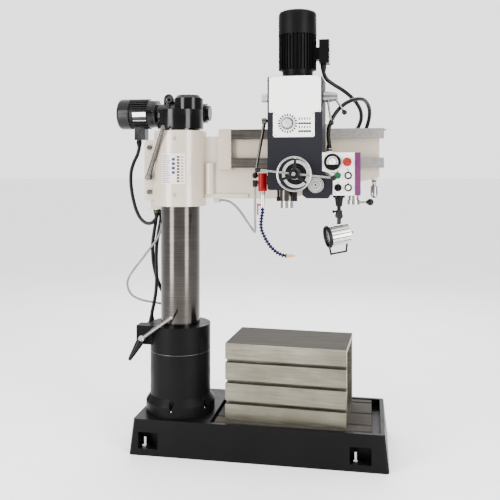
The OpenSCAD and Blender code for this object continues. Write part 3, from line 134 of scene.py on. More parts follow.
class Shape:
    """Collects faces of one piece."""

    def __init__(self):
        self.verts = []
        self.faces = []

    def ring(self, centre, a, b, r, steps):
        """Adds a circle of points and gives the number of its first point."""
        first = len(self.verts)
        for k in range(steps):
            t = 2 * math.pi * k / steps
            self.verts.append(centre + r * (math.cos(t) * a + math.sin(t) * b))
        return first

    def wall(self, one, two, steps):
        """Joins two rings."""
        for k in range(steps):
            j = (k + 1) % steps
            self.faces.append((one + k, one + j, two + j, two + k))

    def caps(self, one, two, steps):
        """Closes the two ends of a row of rings."""
        self.faces.append(tuple(one + k for k in reversed(range(steps))))
        self.faces.append(tuple(two + k for k in range(steps)))

    def lathe(self, origin, direction, profile, steps=40):
        """Turns (radius, height) pairs about a line from origin, and closes both ends."""
        a, b, d = basis(direction)
        rings = [self.ring(Vector(origin) + h * d, a, b, max(r, 1e-5), steps) for r, h in profile]
        for one, two in zip(rings, rings[1:]):
            self.wall(one, two, steps)
        self.caps(rings[0], rings[-1], steps)
        return self

    def band(self, origin, direction, profile, steps=96):
        """An open ring: turns a closed loop of (radius, height) pairs about a line from origin."""
        a, b, d = basis(direction)
        rings = [self.ring(Vector(origin) + h * d, a, b, r, steps) for r, h in profile]
        for k, one in enumerate(rings):
            self.wall(one, rings[(k + 1) % len(rings)], steps)
        return self

    def prism(self, outline, origin, u, v, depth):
        """A flat outline of (u, v) pairs, thickened along u x v."""
        n = Vector(u).cross(Vector(v)).normalized() * depth
        first = len(self.verts)
        count = len(outline)
        for lift in (Vector(), n):
            for x, y in outline:
                self.verts.append(Vector(origin) + x * Vector(u) + y * Vector(v) + lift)
        self.wall(first, first + count, count)
        self.caps(first, first + count, count)
        return self

    def box(self, low, high):
        """A block between two corners."""
        size = high - low
        corners = [(0, 0), (size.x, 0), (size.x, size.y), (0, size.y)]
        return self.prism(corners, low, RIGHT, -FRONT, size.z)

    def tube(self, path, r, sides=16):
        """A closed tube along path."""
        side = None
        rings = []
        for i, p in enumerate(path):
            d = (path[min(i + 1, len(path) - 1)] - path[max(i - 1, 0)]).normalized()
            side = basis(d)[0] if side is None else (side - side.dot(d) * d).normalized()
            rings.append(self.ring(p, side, d.cross(side), r, sides))
        for one, two in zip(rings, rings[1:]):
            self.wall(one, two, sides)
        self.caps(rings[0], rings[-1], sides)
        return self

    def object(self, name, paint, sharp=35):
        """Makes the piece."""
        mesh = bpy.data.meshes.new(name)
        mesh.from_pydata([tuple(v) for v in self.verts], [], self.faces)
        mesh.validate()
        mesh.polygons.foreach_set("use_smooth", [True] * len(mesh.polygons))
        mesh.set_sharp_from_angle(angle=math.radians(sharp))
        mesh.materials.append(paint)
        piece = bpy.data.objects.new(name, mesh)
        bpy.context.scene.collection.objects.link(piece)
        return piece

    def done(self, name, paint, body, sharp=35):
        """Makes the piece and lets it ride on a body."""
        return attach(self.object(name, paint, sharp), body)


def rounded(x0, y0, x1, y1, r, steps=5):
    """A rectangle's outline with round corners."""
    corners = ((x1 - r, y1 - r, 0), (x0 + r, y1 - r, 90), (x0 + r, y0 + r, 180), (x1 - r, y0 + r, 270))
    points = []
    for cx, cy, start in corners:
        for k in range(steps + 1):
            t = math.radians(start + 90 * k / steps)
            points.append((cx + r * math.cos(t), cy + r * math.sin(t)))
    return points


def curve(points, per_span=6):
    """A smooth line through points."""
    pts = [points[0]] + list(points) + [points[-1]]
    line = []
    for i in range(1, len(pts) - 2):
        p0, p1, p2, p3 = pts[i - 1 : i + 3]
        for k in range(per_span):
            t = k / per_span
            line.append(0.5 * (2 * p1 + (p2 - p0) * t + (2 * p0 - 5 * p1 + 4 * p2 - p3) * t * t
                               + (3 * p1 - p0 - 3 * p2 + p3) * t ** 3))
    return line + [pts[-1]]


def length(line):
    """How long a line of points is."""
    return sum((b - a).length for a, b in zip(line, line[1:]))


def at_length(line, distance):
    """Point and direction at a distance along a line."""
    for a, b in zip(line, line[1:]):
        step = (b - a).length
        if distance <= step:
            return a + (b - a) * (distance / step), (b - a).normalized()
        distance -= step
    return line[-1], (line[-1] - line[-2]).normalized()


# Material tools
class Paint:
    """A node material with helpers for noise, masks and bump. Places are read in the object's own metres."""

    def __init__(self, name):
        self.material = bpy.data.materials.new(name)
        self.material.use_nodes = True
        self.tree = self.material.node_tree
        self.shader = self.tree.nodes["Principled BSDF"]
        self.place = self.node("ShaderNodeTexCoord").outputs["Object"]

    def node(self, kind, **values):
        made = self.tree.nodes.new(kind)
        for key, value in values.items():
            setattr(made, key, value)
        return made

    def feed(self, socket, source):
        """Links a socket to an output, or sets it to a value."""
        if hasattr(source, "is_output"):
            self.tree.links.new(source, socket)
        else:
            socket.default_value = source

    def set(self, **values):
        """Feeds the shader's sockets."""
        for key, value in values.items():
            self.feed(self.shader.inputs[key.replace("_", " ")], value)

    def source(self, socket):
        """The output that feeds a socket of the shader so far."""
        return self.shader.inputs[socket].links[0].from_socket

    def math(self, operation, a, b=0.0):
        made = self.node("ShaderNodeMath", operation=operation)
        self.feed(made.inputs[0], a)
        self.feed(made.inputs[1], b)
        return made.outputs[0]

    def axes(self, vector=None):
        """X, Y and Z of a vector, or of the place."""
        made = self.node("ShaderNodeSeparateXYZ")
        self.feed(made.inputs[0], self.place if vector is None else vector)
        return made.outputs

    def noise(self, scale, detail=3.0, stretch=(1, 1, 1)):
        mapping = self.node("ShaderNodeMapping")
        self.feed(mapping.inputs["Vector"], self.place)
        mapping.inputs["Scale"].default_value = stretch
        made = self.node("ShaderNodeTexNoise")
        self.feed(made.inputs["Vector"], mapping.outputs["Vector"])
        made.inputs["Scale"].default_value = scale
        made.inputs["Detail"].default_value = detail
        return made.outputs["Fac"]

    def range(self, source, low, high, from_low=0.3, from_high=0.7):
        """Maps a source from one span of values to another."""
        made = self.node("ShaderNodeMapRange")
        self.feed(made.inputs["Value"], source)
        made.inputs["From Min"].default_value = from_low
        made.inputs["From Max"].default_value = from_high
        made.inputs["To Min"].default_value = low
        made.inputs["To Max"].default_value = high
        return made.outputs["Result"]

    def mix(self, share, a, b):
        """Colour a where share is 0, b where it is 1."""
        made = self.node("ShaderNodeMix", data_type="RGBA")
        self.feed(made.inputs["Factor"], share)
        self.feed(made.inputs[6], a)
        self.feed(made.inputs[7], b)
        return made.outputs[2]

    def inside(self, low, high):
        """1 inside a box given in metres, 0 outside."""
        axes = self.axes()
        share = 1.0
        for k in range(3):
            share = self.math("MULTIPLY", self.math("GREATER_THAN", axes[k], low[k]), share)
            share = self.math("MULTIPLY", self.math("LESS_THAN", axes[k], high[k]), share)
        return share

    def inside_any(self, boxes):
        """1 inside any of the boxes."""
        share = 0.0
        for low, high in boxes:
            share = self.math("MAXIMUM", share, self.inside(low, high))
        return share

    def bump(self, source, strength, distance=0.001, edge=0.0015):
        """Bump from a height, over edges that are softened by a small radius."""
        made = self.node("ShaderNodeBump")
        made.inputs["Strength"].default_value = strength
        made.inputs["Distance"].default_value = distance
        self.feed(made.inputs["Height"], source)
        if edge:
            soft = self.node("ShaderNodeBevel", samples=4)
            soft.inputs["Radius"].default_value = edge
            self.feed(made.inputs["Normal"], soft.outputs["Normal"])
        self.feed(self.shader.inputs["Normal"], made.outputs["Normal"])

    def two_tone(self, share, colour, metallic=0.0):
        """Gives the places where share is 1 another colour, and makes them metal or not."""
        was_metal = self.shader.inputs["Metallic"].default_value
        self.set(Base_Color=self.mix(share, self.source("Base Color"), rgb(*colour)))
        change = self.math("MULTIPLY", share, metallic - was_metal)
        self.set(Metallic=self.math("ADD", change, was_metal), Specular_IOR_Level=0.1)
        return self.material


def rgb(*values):
    return (*values, 1.0)


def enamel(name, colour, dark, rough=0.34, edge=0.002, gloss=0.5):
    """Sprayed paint: faint orange peel, slow change of tone, a few dull patches."""
    p = Paint(name)
    p.set(Base_Color=p.mix(p.range(p.noise(3.5, detail=4.0), 0, 1), rgb(*colour), rgb(*dark)))
    p.set(Roughness=p.range(p.noise(14, detail=5.0), rough - 0.05, rough + 0.1))
    p.bump(p.noise(420, detail=2.0), strength=0.06, distance=0.0006, edge=edge)
    p.set(Specular_IOR_Level=gloss)
    return p


EVEN = (6, 6, 6)
COARSE = (4, 4, 4)


def metal(name, light, dark, rough, stretch=EVEN, scale=24, bump=0.05):
    """Ground or turned metal, with streaks drawn out along the axes that stretch makes small."""
    p = Paint(name)
    streak = p.noise(scale, detail=4.0, stretch=stretch)
    blotch = p.math("MULTIPLY", streak, p.noise(6, detail=4.0))
    p.set(Base_Color=p.mix(p.range(blotch, 0, 1, from_low=0.12, from_high=0.42), rgb(*dark), rgb(*light)))
    p.set(Roughness=p.range(streak, *rough), Metallic=1.0)
    p.bump(streak, bump, distance=0.0004, edge=0.001)
    return p


def satin(name, light, dark):
    """Bare metal with a soft bright finish, partly dull and partly mirror."""
    p = metal(name, light, dark, rough=(0.3, 0.44), scale=30)
    p.set(Metallic=0.35)
    return p


def moulded(name, colour, rough=0.5, grain=600, bump=0.05, gloss=0.28):
    """Moulded plastic, rubber or print with a fine grain."""
    p = Paint(name)
    shade = tuple(c * 0.72 for c in colour)
    p.set(Base_Color=p.mix(p.range(p.noise(22, detail=4.0), 0, 1), rgb(*shade), rgb(*colour)))
    p.set(Roughness=p.range(p.noise(60), rough - 0.06, rough + 0.08))
    p.bump(p.noise(grain, detail=2.0), bump, distance=0.0003, edge=0.0008)
    p.set(Specular_IOR_Level=gloss)
    return p.material


# Colours that several materials share
BLACK = (0.005, 0.005, 0.0055)
JET = (0.004, 0.004, 0.0044)
HANDLE = (0.36, 0.35, 0.335)
HANDLE_DARK = (0.24, 0.232, 0.22)

black_enamel = enamel("black_enamel", JET, (0.0026, 0.0026, 0.003),
                      rough=0.15, edge=0.003, gloss=0.22).material
stand_enamel = enamel("stand_enamel", (0.004, 0.004, 0.0042), (0.0026, 0.0026, 0.0028),
                      rough=0.36, edge=0.003, gloss=0.05).material
cream_enamel = enamel("cream_enamel", (0.455, 0.392, 0.312), (0.40, 0.342, 0.27),
                      rough=0.17, edge=0.004, gloss=0.75).material
head_enamel = enamel("head_enamel", (0.007, 0.007, 0.0095), (0.005, 0.005, 0.007),
                     rough=0.34, edge=0.003, gloss=0.14).material
motor_enamel = enamel("motor_enamel", (0.003, 0.003, 0.0034), (0.002, 0.002, 0.0024),
                      rough=0.4, edge=0.001, gloss=0.06).material
white_enamel = enamel("white_enamel", (0.74, 0.73, 0.70), (0.68, 0.67, 0.64), rough=0.3).material
red_enamel = enamel("red_enamel", (0.21, 0.002, 0.004), (0.16, 0.0015, 0.003),
                    rough=0.28, edge=0.0015, gloss=0.12).material
purple_enamel = enamel("purple_enamel", (0.075, 0.006, 0.052), (0.062, 0.005, 0.043), edge=0.001).material
print_cream = enamel("print_cream", (0.60, 0.55, 0.49), (0.57, 0.52, 0.46), rough=0.3, edge=0.0006).material
print_white = enamel("print_white", (0.84, 0.84, 0.82), (0.79, 0.79, 0.77), rough=0.4, edge=0.0006).material

column_steel = metal("column_steel", (0.074, 0.066, 0.060), (0.036, 0.032, 0.029),
                     rough=(0.11, 0.2), stretch=(1, 1, 120), scale=2.4).material
polished_steel = metal("polished_steel", (0.56, 0.55, 0.54), (0.40, 0.395, 0.39),
                       rough=(0.14, 0.26), scale=30).material
dark_steel = metal("dark_steel", (0.20, 0.19, 0.18), (0.09, 0.086, 0.08),
                   rough=(0.34, 0.5), stretch=COARSE, scale=18, bump=0.08).material
blackened_steel = metal("blackened_steel", (0.05, 0.05, 0.05), (0.02, 0.02, 0.02),
                        rough=(0.3, 0.45), stretch=COARSE, scale=20).material
lever_steel = metal("lever_steel", (0.13, 0.122, 0.11), (0.06, 0.056, 0.05), rough=(0.22, 0.36)).material
handle_steel = metal("handle_steel", HANDLE, HANDLE_DARK, rough=(0.18, 0.32)).material
bronze = metal("bronze", (0.62, 0.45, 0.22), (0.42, 0.29, 0.13),
               rough=(0.26, 0.4), stretch=(3, 3, 60), scale=6).material
bare_aluminium = metal("bare_aluminium", (0.80, 0.80, 0.79), (0.60, 0.60, 0.59),
                       rough=(0.28, 0.42), stretch=(1, 40, 40), scale=4).material
satin_zinc = satin("satin_zinc", (0.52, 0.515, 0.50), (0.40, 0.395, 0.385)).material

black_plastic = moulded("black_plastic", JET, rough=0.36, grain=900, bump=0.06, gloss=0.08)
grey_plastic = moulded("grey_plastic", (0.012, 0.0125, 0.0135), rough=0.36, grain=700, bump=0.06)
knob_plastic = moulded("knob_plastic", JET, rough=0.14, grain=300, bump=0.03, gloss=0.14)
sheath = moulded("cable_sheath", JET, rough=0.32, grain=700, bump=0.04, gloss=0.14)
pale_hose = moulded("pale_hose", (0.20, 0.205, 0.185), rough=0.4, grain=500, bump=0.08)
red_plastic = moulded("red_plastic", (0.20, 0.013, 0.009), rough=0.3)
green_plastic = moulded("green_plastic", (0.002, 0.075, 0.026), rough=0.3)
white_plastic = moulded("white_plastic", (0.76, 0.76, 0.73), rough=0.3)
blue_plastic = moulded("blue_plastic", (0.005, 0.004, 0.034), rough=0.34, bump=0.06, gloss=0.1)
# Painted highlight: the necks between the hose's links are a lighter blue, for the light caught between the
# beads
painted_neck_highlight = moulded("painted_neck_highlight", (0.05, 0.05, 0.11), rough=0.34, bump=0.06, gloss=0.1)
orange_plastic = moulded("orange_plastic", (0.58, 0.33, 0.075), rough=0.34, bump=0.06)
print_black = moulded("print_black", (0.006, 0.006, 0.0065), grain=400, bump=0.02)
print_grey = moulded("print_grey", (0.13, 0.11, 0.16), grain=400, bump=0.02)
print_blue = moulded("print_blue", (0.014, 0.018, 0.11), grain=400, bump=0.02)


def base_paint():
    """The base: black, with a ground steel plate inside the gutter."""
    p = enamel("base_paint", (0.0042, 0.004, 0.004), (0.0026, 0.0026, 0.0026), edge=0.004, gloss=0.07)
    plate = p.inside((0.2155, -0.1565, 0.1295), (0.9725, 0.2855, 0.18))
    streaks = p.range(p.noise(14, detail=5.0, stretch=(1, 24, 1)), 0, 1)
    steel = p.mix(streaks, rgb(0.034, 0.030, 0.0255), rgb(0.050, 0.045, 0.039))
    p.set(Base_Color=p.mix(plate, p.source("Base Color"), steel))
    p.set(Metallic=p.math("MULTIPLY", plate, 0.1))
    p.set(Roughness=p.math("ADD", p.source("Roughness"), p.math("MULTIPLY", plate, 0.45)))
    return p.material


def table_paint():
    """Ground table: streaked sides, darker low down, and a duller top with fine lines along its length."""
    p = metal("table_steel", (0.25, 0.235, 0.19), (0.135, 0.125, 0.095),
              rough=(0.34, 0.52), stretch=(1, 24, 24), scale=4.0, bump=0.1)
    facing = p.axes(p.node("ShaderNodeNewGeometry").outputs["True Normal"])
    top = p.math("GREATER_THAN", facing["Z"], 0.9)
    low = p.range(p.axes()["Z"], 0.45, 0.0, from_low=0.19, from_high=0.46)
    side = p.mix(low, p.source("Base Color"), rgb(0.115, 0.108, 0.072))
    lines = p.noise(9.0, detail=5.0, stretch=(1, 40, 1))
    lines = p.range(lines, 0, 1, from_low=0.35, from_high=0.65)
    lined = p.mix(lines, rgb(0.032, 0.029, 0.0245), rgb(0.056, 0.052, 0.045))
    p.set(Base_Color=p.mix(top, side, lined))
    p.set(Metallic=p.math("SUBTRACT", 1.0, p.math("MULTIPLY", top, 0.9)), Specular_IOR_Level=0.1)
    p.set(Roughness=p.math("ADD", p.source("Roughness"), p.math("MULTIPLY", top, 0.4)))
    return p.material


def rail_paint():
    """The arm's ways: dark brown near the column, with painted light that brightens them towards the free
    end.
    """
    p = metal("rail_steel", (0.11, 0.10, 0.087), (0.045, 0.040, 0.034),
              rough=(0.26, 0.42), stretch=(1, 60, 60), scale=3.0, bump=0.1)
    # Painted light: from X 0.50 to 0.80 m the ways turn lighter and less metallic, for the light falling on
    # the free end
    painted_light_ramp = p.node("ShaderNodeMapRange", interpolation_type="SMOOTHSTEP")
    p.feed(painted_light_ramp.inputs["Value"], p.axes()["X"])
    painted_light_ramp.inputs["From Min"].default_value = 0.50
    painted_light_ramp.inputs["From Max"].default_value = 0.80
    share = painted_light_ramp.outputs["Result"]
    grain = p.range(p.noise(40, detail=4.0, stretch=(1, 8, 8)), 0, 1)
    bright = p.mix(grain, rgb(0.15, 0.145, 0.135), rgb(0.34, 0.33, 0.31))
    p.set(Base_Color=p.mix(share, p.source("Base Color"), bright))
    p.set(Metallic=p.math("SUBTRACT", 1.0, p.math("MULTIPLY", share, 0.6)))
    return p.material


def head_paint():
    """The head: dark, with bare shaft ends at its sides."""
    p = enamel("head_paint", (0.0085, 0.0085, 0.0115), (0.006, 0.006, 0.0085),
               rough=0.55, edge=0.003, gloss=0.08)
    left = ((0.44, -0.25, 1.70), (0.4996, -0.15, 1.79))
    right = ((0.7525, -0.25, 1.70), (0.85, -0.15, 1.79))
    return p.two_tone(p.inside_any([left, right]), (0.50, 0.49, 0.47), metallic=1.0)


def near_feed_axis(p, r):
    """1 within a radius of the feed shaft's axis."""
    axes = p.axes()
    across = p.math("POWER", p.math("SUBTRACT", axes["X"], FEED_AXIS.x), 2)
    up = p.math("POWER", p.math("SUBTRACT", axes["Z"], FEED_AXIS.z), 2)
    return p.math("LESS_THAN", p.math("SQRT", p.math("ADD", across, up)), r)


def wheel_paint():
    """The handwheel: a polished rim on black spokes and a black hub."""
    p = metal("wheel_steel", (0.46, 0.45, 0.44), (0.30, 0.295, 0.285), rough=(0.12, 0.24), scale=30)
    return p.two_tone(near_feed_axis(p, 0.0685), BLACK)


def hub_paint():
    """The feed hub: bare levers, and a black disc behind them."""
    p = metal("hub_steel", HANDLE, HANDLE_DARK, rough=(0.18, 0.32))
    behind = p.inside((-1.0, FEED_AXIS.y - 0.1755, -1.0), (3.0, 1.0, 3.0))
    return p.two_tone(p.math("MULTIPLY", behind, near_feed_axis(p, 0.0495)), BLACK)


def swivel_paint():
    """The column's clamping lever: black where it runs down from the hub, along the grip."""
    p = metal("swivel_steel", (0.34, 0.33, 0.315), (0.22, 0.212, 0.20), rough=(0.2, 0.34))
    offset = p.node("ShaderNodeVectorMath", operation="SUBTRACT")
    p.feed(offset.inputs[0], p.place)
    p.feed(offset.inputs[1], mm(-165, -123, 555.3))
    along = p.node("ShaderNodeVectorMath", operation="DOT_PRODUCT")
    p.feed(along.inputs[0], offset.outputs[0])
    p.feed(along.inputs[1], mm(-58, -28, -106).normalized())
    return p.two_tone(p.math("GREATER_THAN", along.outputs["Value"], 0.0145), BLACK)


def lamp_paint():
    """The lamp: a bare body with painted shade in its grooves, and a black bezel, guard and neck, told apart
    in the lamp's own frame.
    """
    p = metal("lamp_metal", (0.62, 0.615, 0.60), (0.44, 0.435, 0.425),
              rough=(0.24, 0.38), stretch=(1, 40, 40), scale=4)
    turned = p.node("ShaderNodeMapping", vector_type="TEXTURE")
    turned.inputs["Location"].default_value = LAMP_AT
    turned.inputs["Rotation"].default_value = LAMP_TURN.to_euler()
    p.feed(turned.inputs["Vector"], p.place)
    p.place = turned.outputs["Vector"]
    bezel = ((-0.1, -0.1, -0.1), (-0.0485, 0.1, 0.1))
    guard = ((-0.1, -0.005, -0.1), (0.1, 0.005, -0.0468))
    neck = ((-0.05, -0.02, 0.0475), (0.05, 0.02, 0.12))
    cable_end = ((0.0555, -0.02, -0.02), (0.1, 0.02, 0.02))
    black = p.inside_any([bezel, guard, neck, cable_end])
    axes = p.axes()
    across = p.math("POWER", axes["Y"], 2)
    up = p.math("POWER", axes["Z"], 2)
    radius = p.math("SQRT", p.math("ADD", across, up))
    # Painted shade: the grooves of the body, inside a radius of 44.7 mm, are painted black for the shade in
    # them
    body = p.inside((-0.0485, -0.1, -0.1), (0.0395, 0.1, 0.1))
    painted_groove_shade = p.math("MULTIPLY", body, p.math("LESS_THAN", radius, 0.0447))
    return p.two_tone(p.math("MAXIMUM", black, painted_groove_shade), BLACK)


def valve_paint():
    """The coolant valve: a red body, a bare adapter below it and a black inlet beside it."""
    p = enamel("valve_red", (0.19, 0.0015, 0.003), (0.14, 0.001, 0.002),
               rough=0.28, edge=0.0015, gloss=0.12)
    bare = p.inside((0.44, -0.27, 1.2), (0.49, -0.19, 1.3019))
    dark = p.inside((0.40, -0.27, 1.3), (0.4448, -0.19, 1.4))
    upper = p.mix(bare, p.source("Base Color"), rgb(0.52, 0.50, 0.47))
    p.set(Base_Color=p.mix(dark, upper, rgb(*BLACK)), Metallic=bare)
    return p.material


NODE_PAINT = {
    base_paint(): ["base_casting"],
    black_enamel: ["gear_housing", "gear_cover", "lift_motor", "lift_fan_cover"],
    stand_enamel: ["column_stand", "swivel_collar"],
    motor_enamel: ["spindle_motor", "motor_fan_cover"],
    cream_enamel: ["arm_casting", "head_saddle"],
    head_paint(): ["head_casting"],
    head_enamel: ["arm_junction_box"],
    table_paint(): ["box_table"],
    rail_paint(): ["guide_rails", "traverse_rack"],
    column_steel: ["column_tube", "quill", "lift_screw"],
    dark_steel: ["motor_rotor", "drive_gear", "feed_pinion", "traverse_shaft"],
    blackened_steel: ["arm_bolts"],
    lever_steel: ["arm_clamp_lever", "head_lock_lever"],
    handle_steel: ["swing_grip", "speed_lever_outer", "speed_lever_inner", "head_clamp_lever", "spindle"],
    polished_steel: ["base_bolts", "feed_dial"],
    satin_zinc: ["spring_cover"],
    hub_paint(): ["feed_hub"],
    swivel_paint(): ["swivel_clamp_lever"],
    wheel_paint(): ["traverse_wheel"],
    bronze: ["stand_bearings", "worm_wheel", "lift_nut"],
    lamp_paint(): ["lamp_head"],
    white_enamel: ["control_box"],
    black_plastic: ["panel_meter", "selector_switch", "lamp_base", "lamp_arm"],
    red_plastic: ["estop_button"],
    green_plastic: ["start_button"],
    white_plastic: ["upper_button", "lower_button"],
    valve_paint(): ["coolant_valve"],
    red_enamel: ["valve_handle"],
    blue_plastic: ["coolant_hose"],
    sheath: ["lift_motor_cable", "column_cable_front", "column_cable_rear", "spindle_motor_cable",
             "control_cable"],
    pale_hose: ["column_hose", "coolant_supply_hose"],
}
for paint, names in NODE_PAINT.items():
    for name in names:
        nodes[name].data.materials.clear()
        nodes[name].data.materials.append(paint)

# Cables and hoses: node, radius, paint, the body and the place each end keeps to, and the route, all places
# in millimetres
CORDS = [
    ("lift_motor_cable", CABLE_R, sheath, "column", (-254, 85, 1500), "arm", (-254, 85, 1165),
     [(-254, 85, 1543), (-254, 85, 1520), (-264, 84, 1482), (-282, 82, 1444), (-296, 79, 1396),
      (-298, 76, 1345), (-291, 71, 1290), (-278, 66, 1235), (-262, 60, 1190), (-238, 54, 1148),
      (-205, 48, 1122), (-172, 44, 1122), (-150, 42, 1142), (-140, 42, 1162), (-140, 42, 1180)]),
    ("column_cable_front", CABLE_R, sheath, "column", (-154, 68, 680), "arm", (-154, 68, 1140),
     [(-154, 68, 1180), (-154, 68, 1140), (-164, 68, 1080), (-173, 68, 1010), (-174, 74, 940),
      (-168, 80, 880), (-154, 88, 820), (-132, 97, 760), (-104, 106, 715), (-76, 113, 680),
      (-60, 115, 655), (-60, 115, 632.3)]),
    ("column_cable_rear", CABLE_R, sheath, "column", (-154, 68, 660), "arm", (-154, 68, 1140),
     [(-130, 72, 1180), (-130, 72, 1140), (-140, 70, 1080), (-150, 68, 1010), (-152, 64, 940),
      (-150, 62, 870), (-150, 62, 800), (-156, 63, 740), (-166, 65, 690), (-175, 66, 650),
      (-178, 66, 630), (-178, 66, 610.3)]),
    ("column_hose", HOSE_R, pale_hose, "column", (-154, 68, 680), "arm", (-154, 68, 1140),
     [(-113, 46, 1180), (-113, 46, 1140), (-122, 44, 1080), (-146, 42, 1030), (-182, 44, 985),
      (-222, 50, 935), (-268, 58, 880), (-304, 66, 830), (-316, 72, 785), (-298, 82, 735),
      (-250, 94, 706), (-190, 108, 692), (-120, 122, 680), (-62, 132, 672), (-30, 132, 658),
      (-20, 128, 645), (-20, 128, 632.3)]),
    ("spindle_motor_cable", CABLE_R, sheath, "arm", (892, 130, 1600), "head", (752, -160, 1850),
     [(748, -165, 1886), (748, -165, 1866), (762, -159, 1834), (796, -142, 1808), (834, -112, 1786),
      (868, -72, 1762), (898, -26, 1732), (918, 26, 1696), (920, 76, 1658), (908, 116, 1626),
      (895, 138, 1606), (892, 142, 1592), (892, 142, 1578)]),
    ("control_cable", CABLE_R, sheath, "arm", (940, 120, 1590), "head", (800, -235, 1590),
     [(780, -250, 1500), (780, -250, 1524), (776, -249, 1560), (780, -247, 1600), (794, -242, 1638),
      (814, -230, 1672), (840, -208, 1702), (870, -176, 1724), (902, -134, 1738), (930, -80, 1742),
      (950, -20, 1730), (962, 42, 1698), (958, 96, 1654), (944, 132, 1610), (940, 142, 1590),
      (940, 142, 1578)]),
    ("coolant_supply_hose", HOSE_R, pale_hose, "arm", (235, 5, 1240), "head", (425, -212, 1240),
     [(206, 10, 1246), (230, 10, 1246), (262, -1, 1238), (296, -26, 1218), (330, -58, 1188),
      (360, -90, 1156), (386, -118, 1128), (404, -142, 1112), (416, -168, 1104), (424, -196, 1110),
      (429, -218, 1130), (430, -229, 1160), (430, -230, 1200), (430, -230, 1260), (430, -230, 1322)]),
]
for node, r, paint, fixed, fixed_at, moved, moved_at, route in CORDS:
    line = curve([mm(*p) for p in route])
    piece = Shape().tube(line, r).object(node + "_sheath", paint)
    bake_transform(piece)
    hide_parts(node)

# Jointed coolant hose: ball-and-socket links along its route, and a nozzle. The two profiles are for links
# that follow each other at LINK_LENGTH, and are stretched to the hose
COOLANT = [mm(*p) for p in [
    (466, -230, 1225), (466, -230, 1205), (461, -230, 1172), (459, -230, 1142), (463, -230, 1116),
    (474, -230, 1090), (488, -230, 1064), (506, -230, 1040), (530, -230, 1018), (556, -230, 1004),
    (582, -230, 999)]]
LINKS = 20
LINK_LENGTH = 0.012
LINK = [(0.0036, 0), (0.0050, 0.0004), (0.0054, 0.0012), (0.0044, 0.0026), (0.0044, 0.0040),
        (0.0088, 0.0052), (0.0102, 0.0074), (0.0099, 0.0098), (0.0060, 0.0124)]
NECK = [(0.0042, 0), (0.0050, 0.0005), (0.0050, 0.0016), (0.0042, 0.0021)]
NECK_AT = 0.0026
NOZZLE = [(0.006, 0), (0.0082, 0.001), (0.0082, 0.008), (0.0070, 0.0085), (0.0070, 0.011),
          (0.0076, 0.0115), (0.0044, 0.036), (0.0040, 0.040), (0.0024, 0.040), (0.0024, 0.030)]
hose_line = curve(COOLANT, 12)
link_pitch = length(hose_line) / LINKS
stretch = link_pitch / LINK_LENGTH
links = Shape()
# Each link gets a neck in a lighter blue, a painted highlight between the beads
necks = Shape()
for k in range(LINKS):
    start, direction = at_length(hose_line, k * link_pitch)
    links.lathe(start, direction, [(r, h * stretch) for r, h in LINK], steps=20)
    start = start + direction * NECK_AT * stretch
    necks.lathe(start, direction, [(r, h * stretch) for r, h in NECK], steps=20)
links = links.done("coolant_links", blue_plastic, "head", BALL)
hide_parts("coolant_hose")
necks = necks.done("coolant_necks", painted_neck_highlight, "head", BALL)
nozzle = Shape().lathe(COOLANT[-1] - mm(2, 0, 0), (1, 0, 0.03), NOZZLE, steps=24)
nozzle = nozzle.done("coolant_nozzle", orange_plastic, "head", TURNED)

# Nuts and tapered boots where the cables enter: body, place of the cable's end, way out, cable radius
GLANDS = [
    ("column", (-254, 85, 1543), DOWN, CABLE_R), ("arm", (-140, 42, 1180), DOWN, CABLE_R),
    ("arm", (-154, 68, 1180), DOWN, CABLE_R), ("arm", (-130, 72, 1180), DOWN, CABLE_R),
    ("arm", (-113, 46, 1180), DOWN, HOSE_R), ("column", (-60, 115, 632.3), UP, CABLE_R),
    ("column", (-178, 66, 610.3), UP, CABLE_R), ("column", (-20, 128, 632.3), UP, HOSE_R),
    ("head", (748, -165, 1886), DOWN, CABLE_R), ("arm", (892, 142, 1578), UP, CABLE_R),
    ("head", (780, -250, 1500), UP, CABLE_R), ("arm", (940, 142, 1578), UP, CABLE_R),
]
NUT = [(0.0048, 0), (0.0062, 0.001), (0.0062, 0.010), (0.0048, 0.011)]
NUT_BACK = 0.012
BOOT = [(0.004, -0.002), (0.004, 0.003), (0.0024, 0.010), (0.0003, 0.018)]
glands = {}
for body, place, way, r in GLANDS:
    shape = glands.setdefault(body, Shape())
    shape.lathe(mm(*place) - NUT_BACK * way, way, [(r + wide, h) for wide, h in NUT], steps=6)
    shape.lathe(mm(*place), way, [(r + wide, h) for wide, h in BOOT])
for body, shape in glands.items():
    shape.done(body + "_glands", black_plastic, body)


# Head: bare plates with rivets, marks round the dial and a printed table
def in_metres(outline):
    """An outline given in millimetres."""
    return [(x / 1000, z / 1000) for x, z in outline]


def front_plate(name, outline, paint):
    """A thin plate on the head's front; the outline is in millimetres from HEAD."""
    origin = Vector((HEAD.x, HEAD_FRONT - PLATE_LIFT, HEAD.z))
    return Shape().prism(in_metres(outline), origin, RIGHT, UP, PLATE_DEPTH).done(name, paint, "head", FLAT)


def front_bars(name, bars, paint, lift):
    """Small printed bars: (x, z, width, height) of their middles in millimetres."""
    shape = Shape()
    for x, z, w, h in bars:
        outline = [(-w / 2, -h / 2), (w / 2, -h / 2), (w / 2, h / 2), (-w / 2, h / 2)]
        origin = Vector((HEAD.x + x / 1000, HEAD_FRONT - lift, HEAD.z + z / 1000))
        shape.prism(in_metres(outline), origin, RIGHT, UP, PRINT_DEPTH)
    return shape.done(name, paint, "head", FLAT)


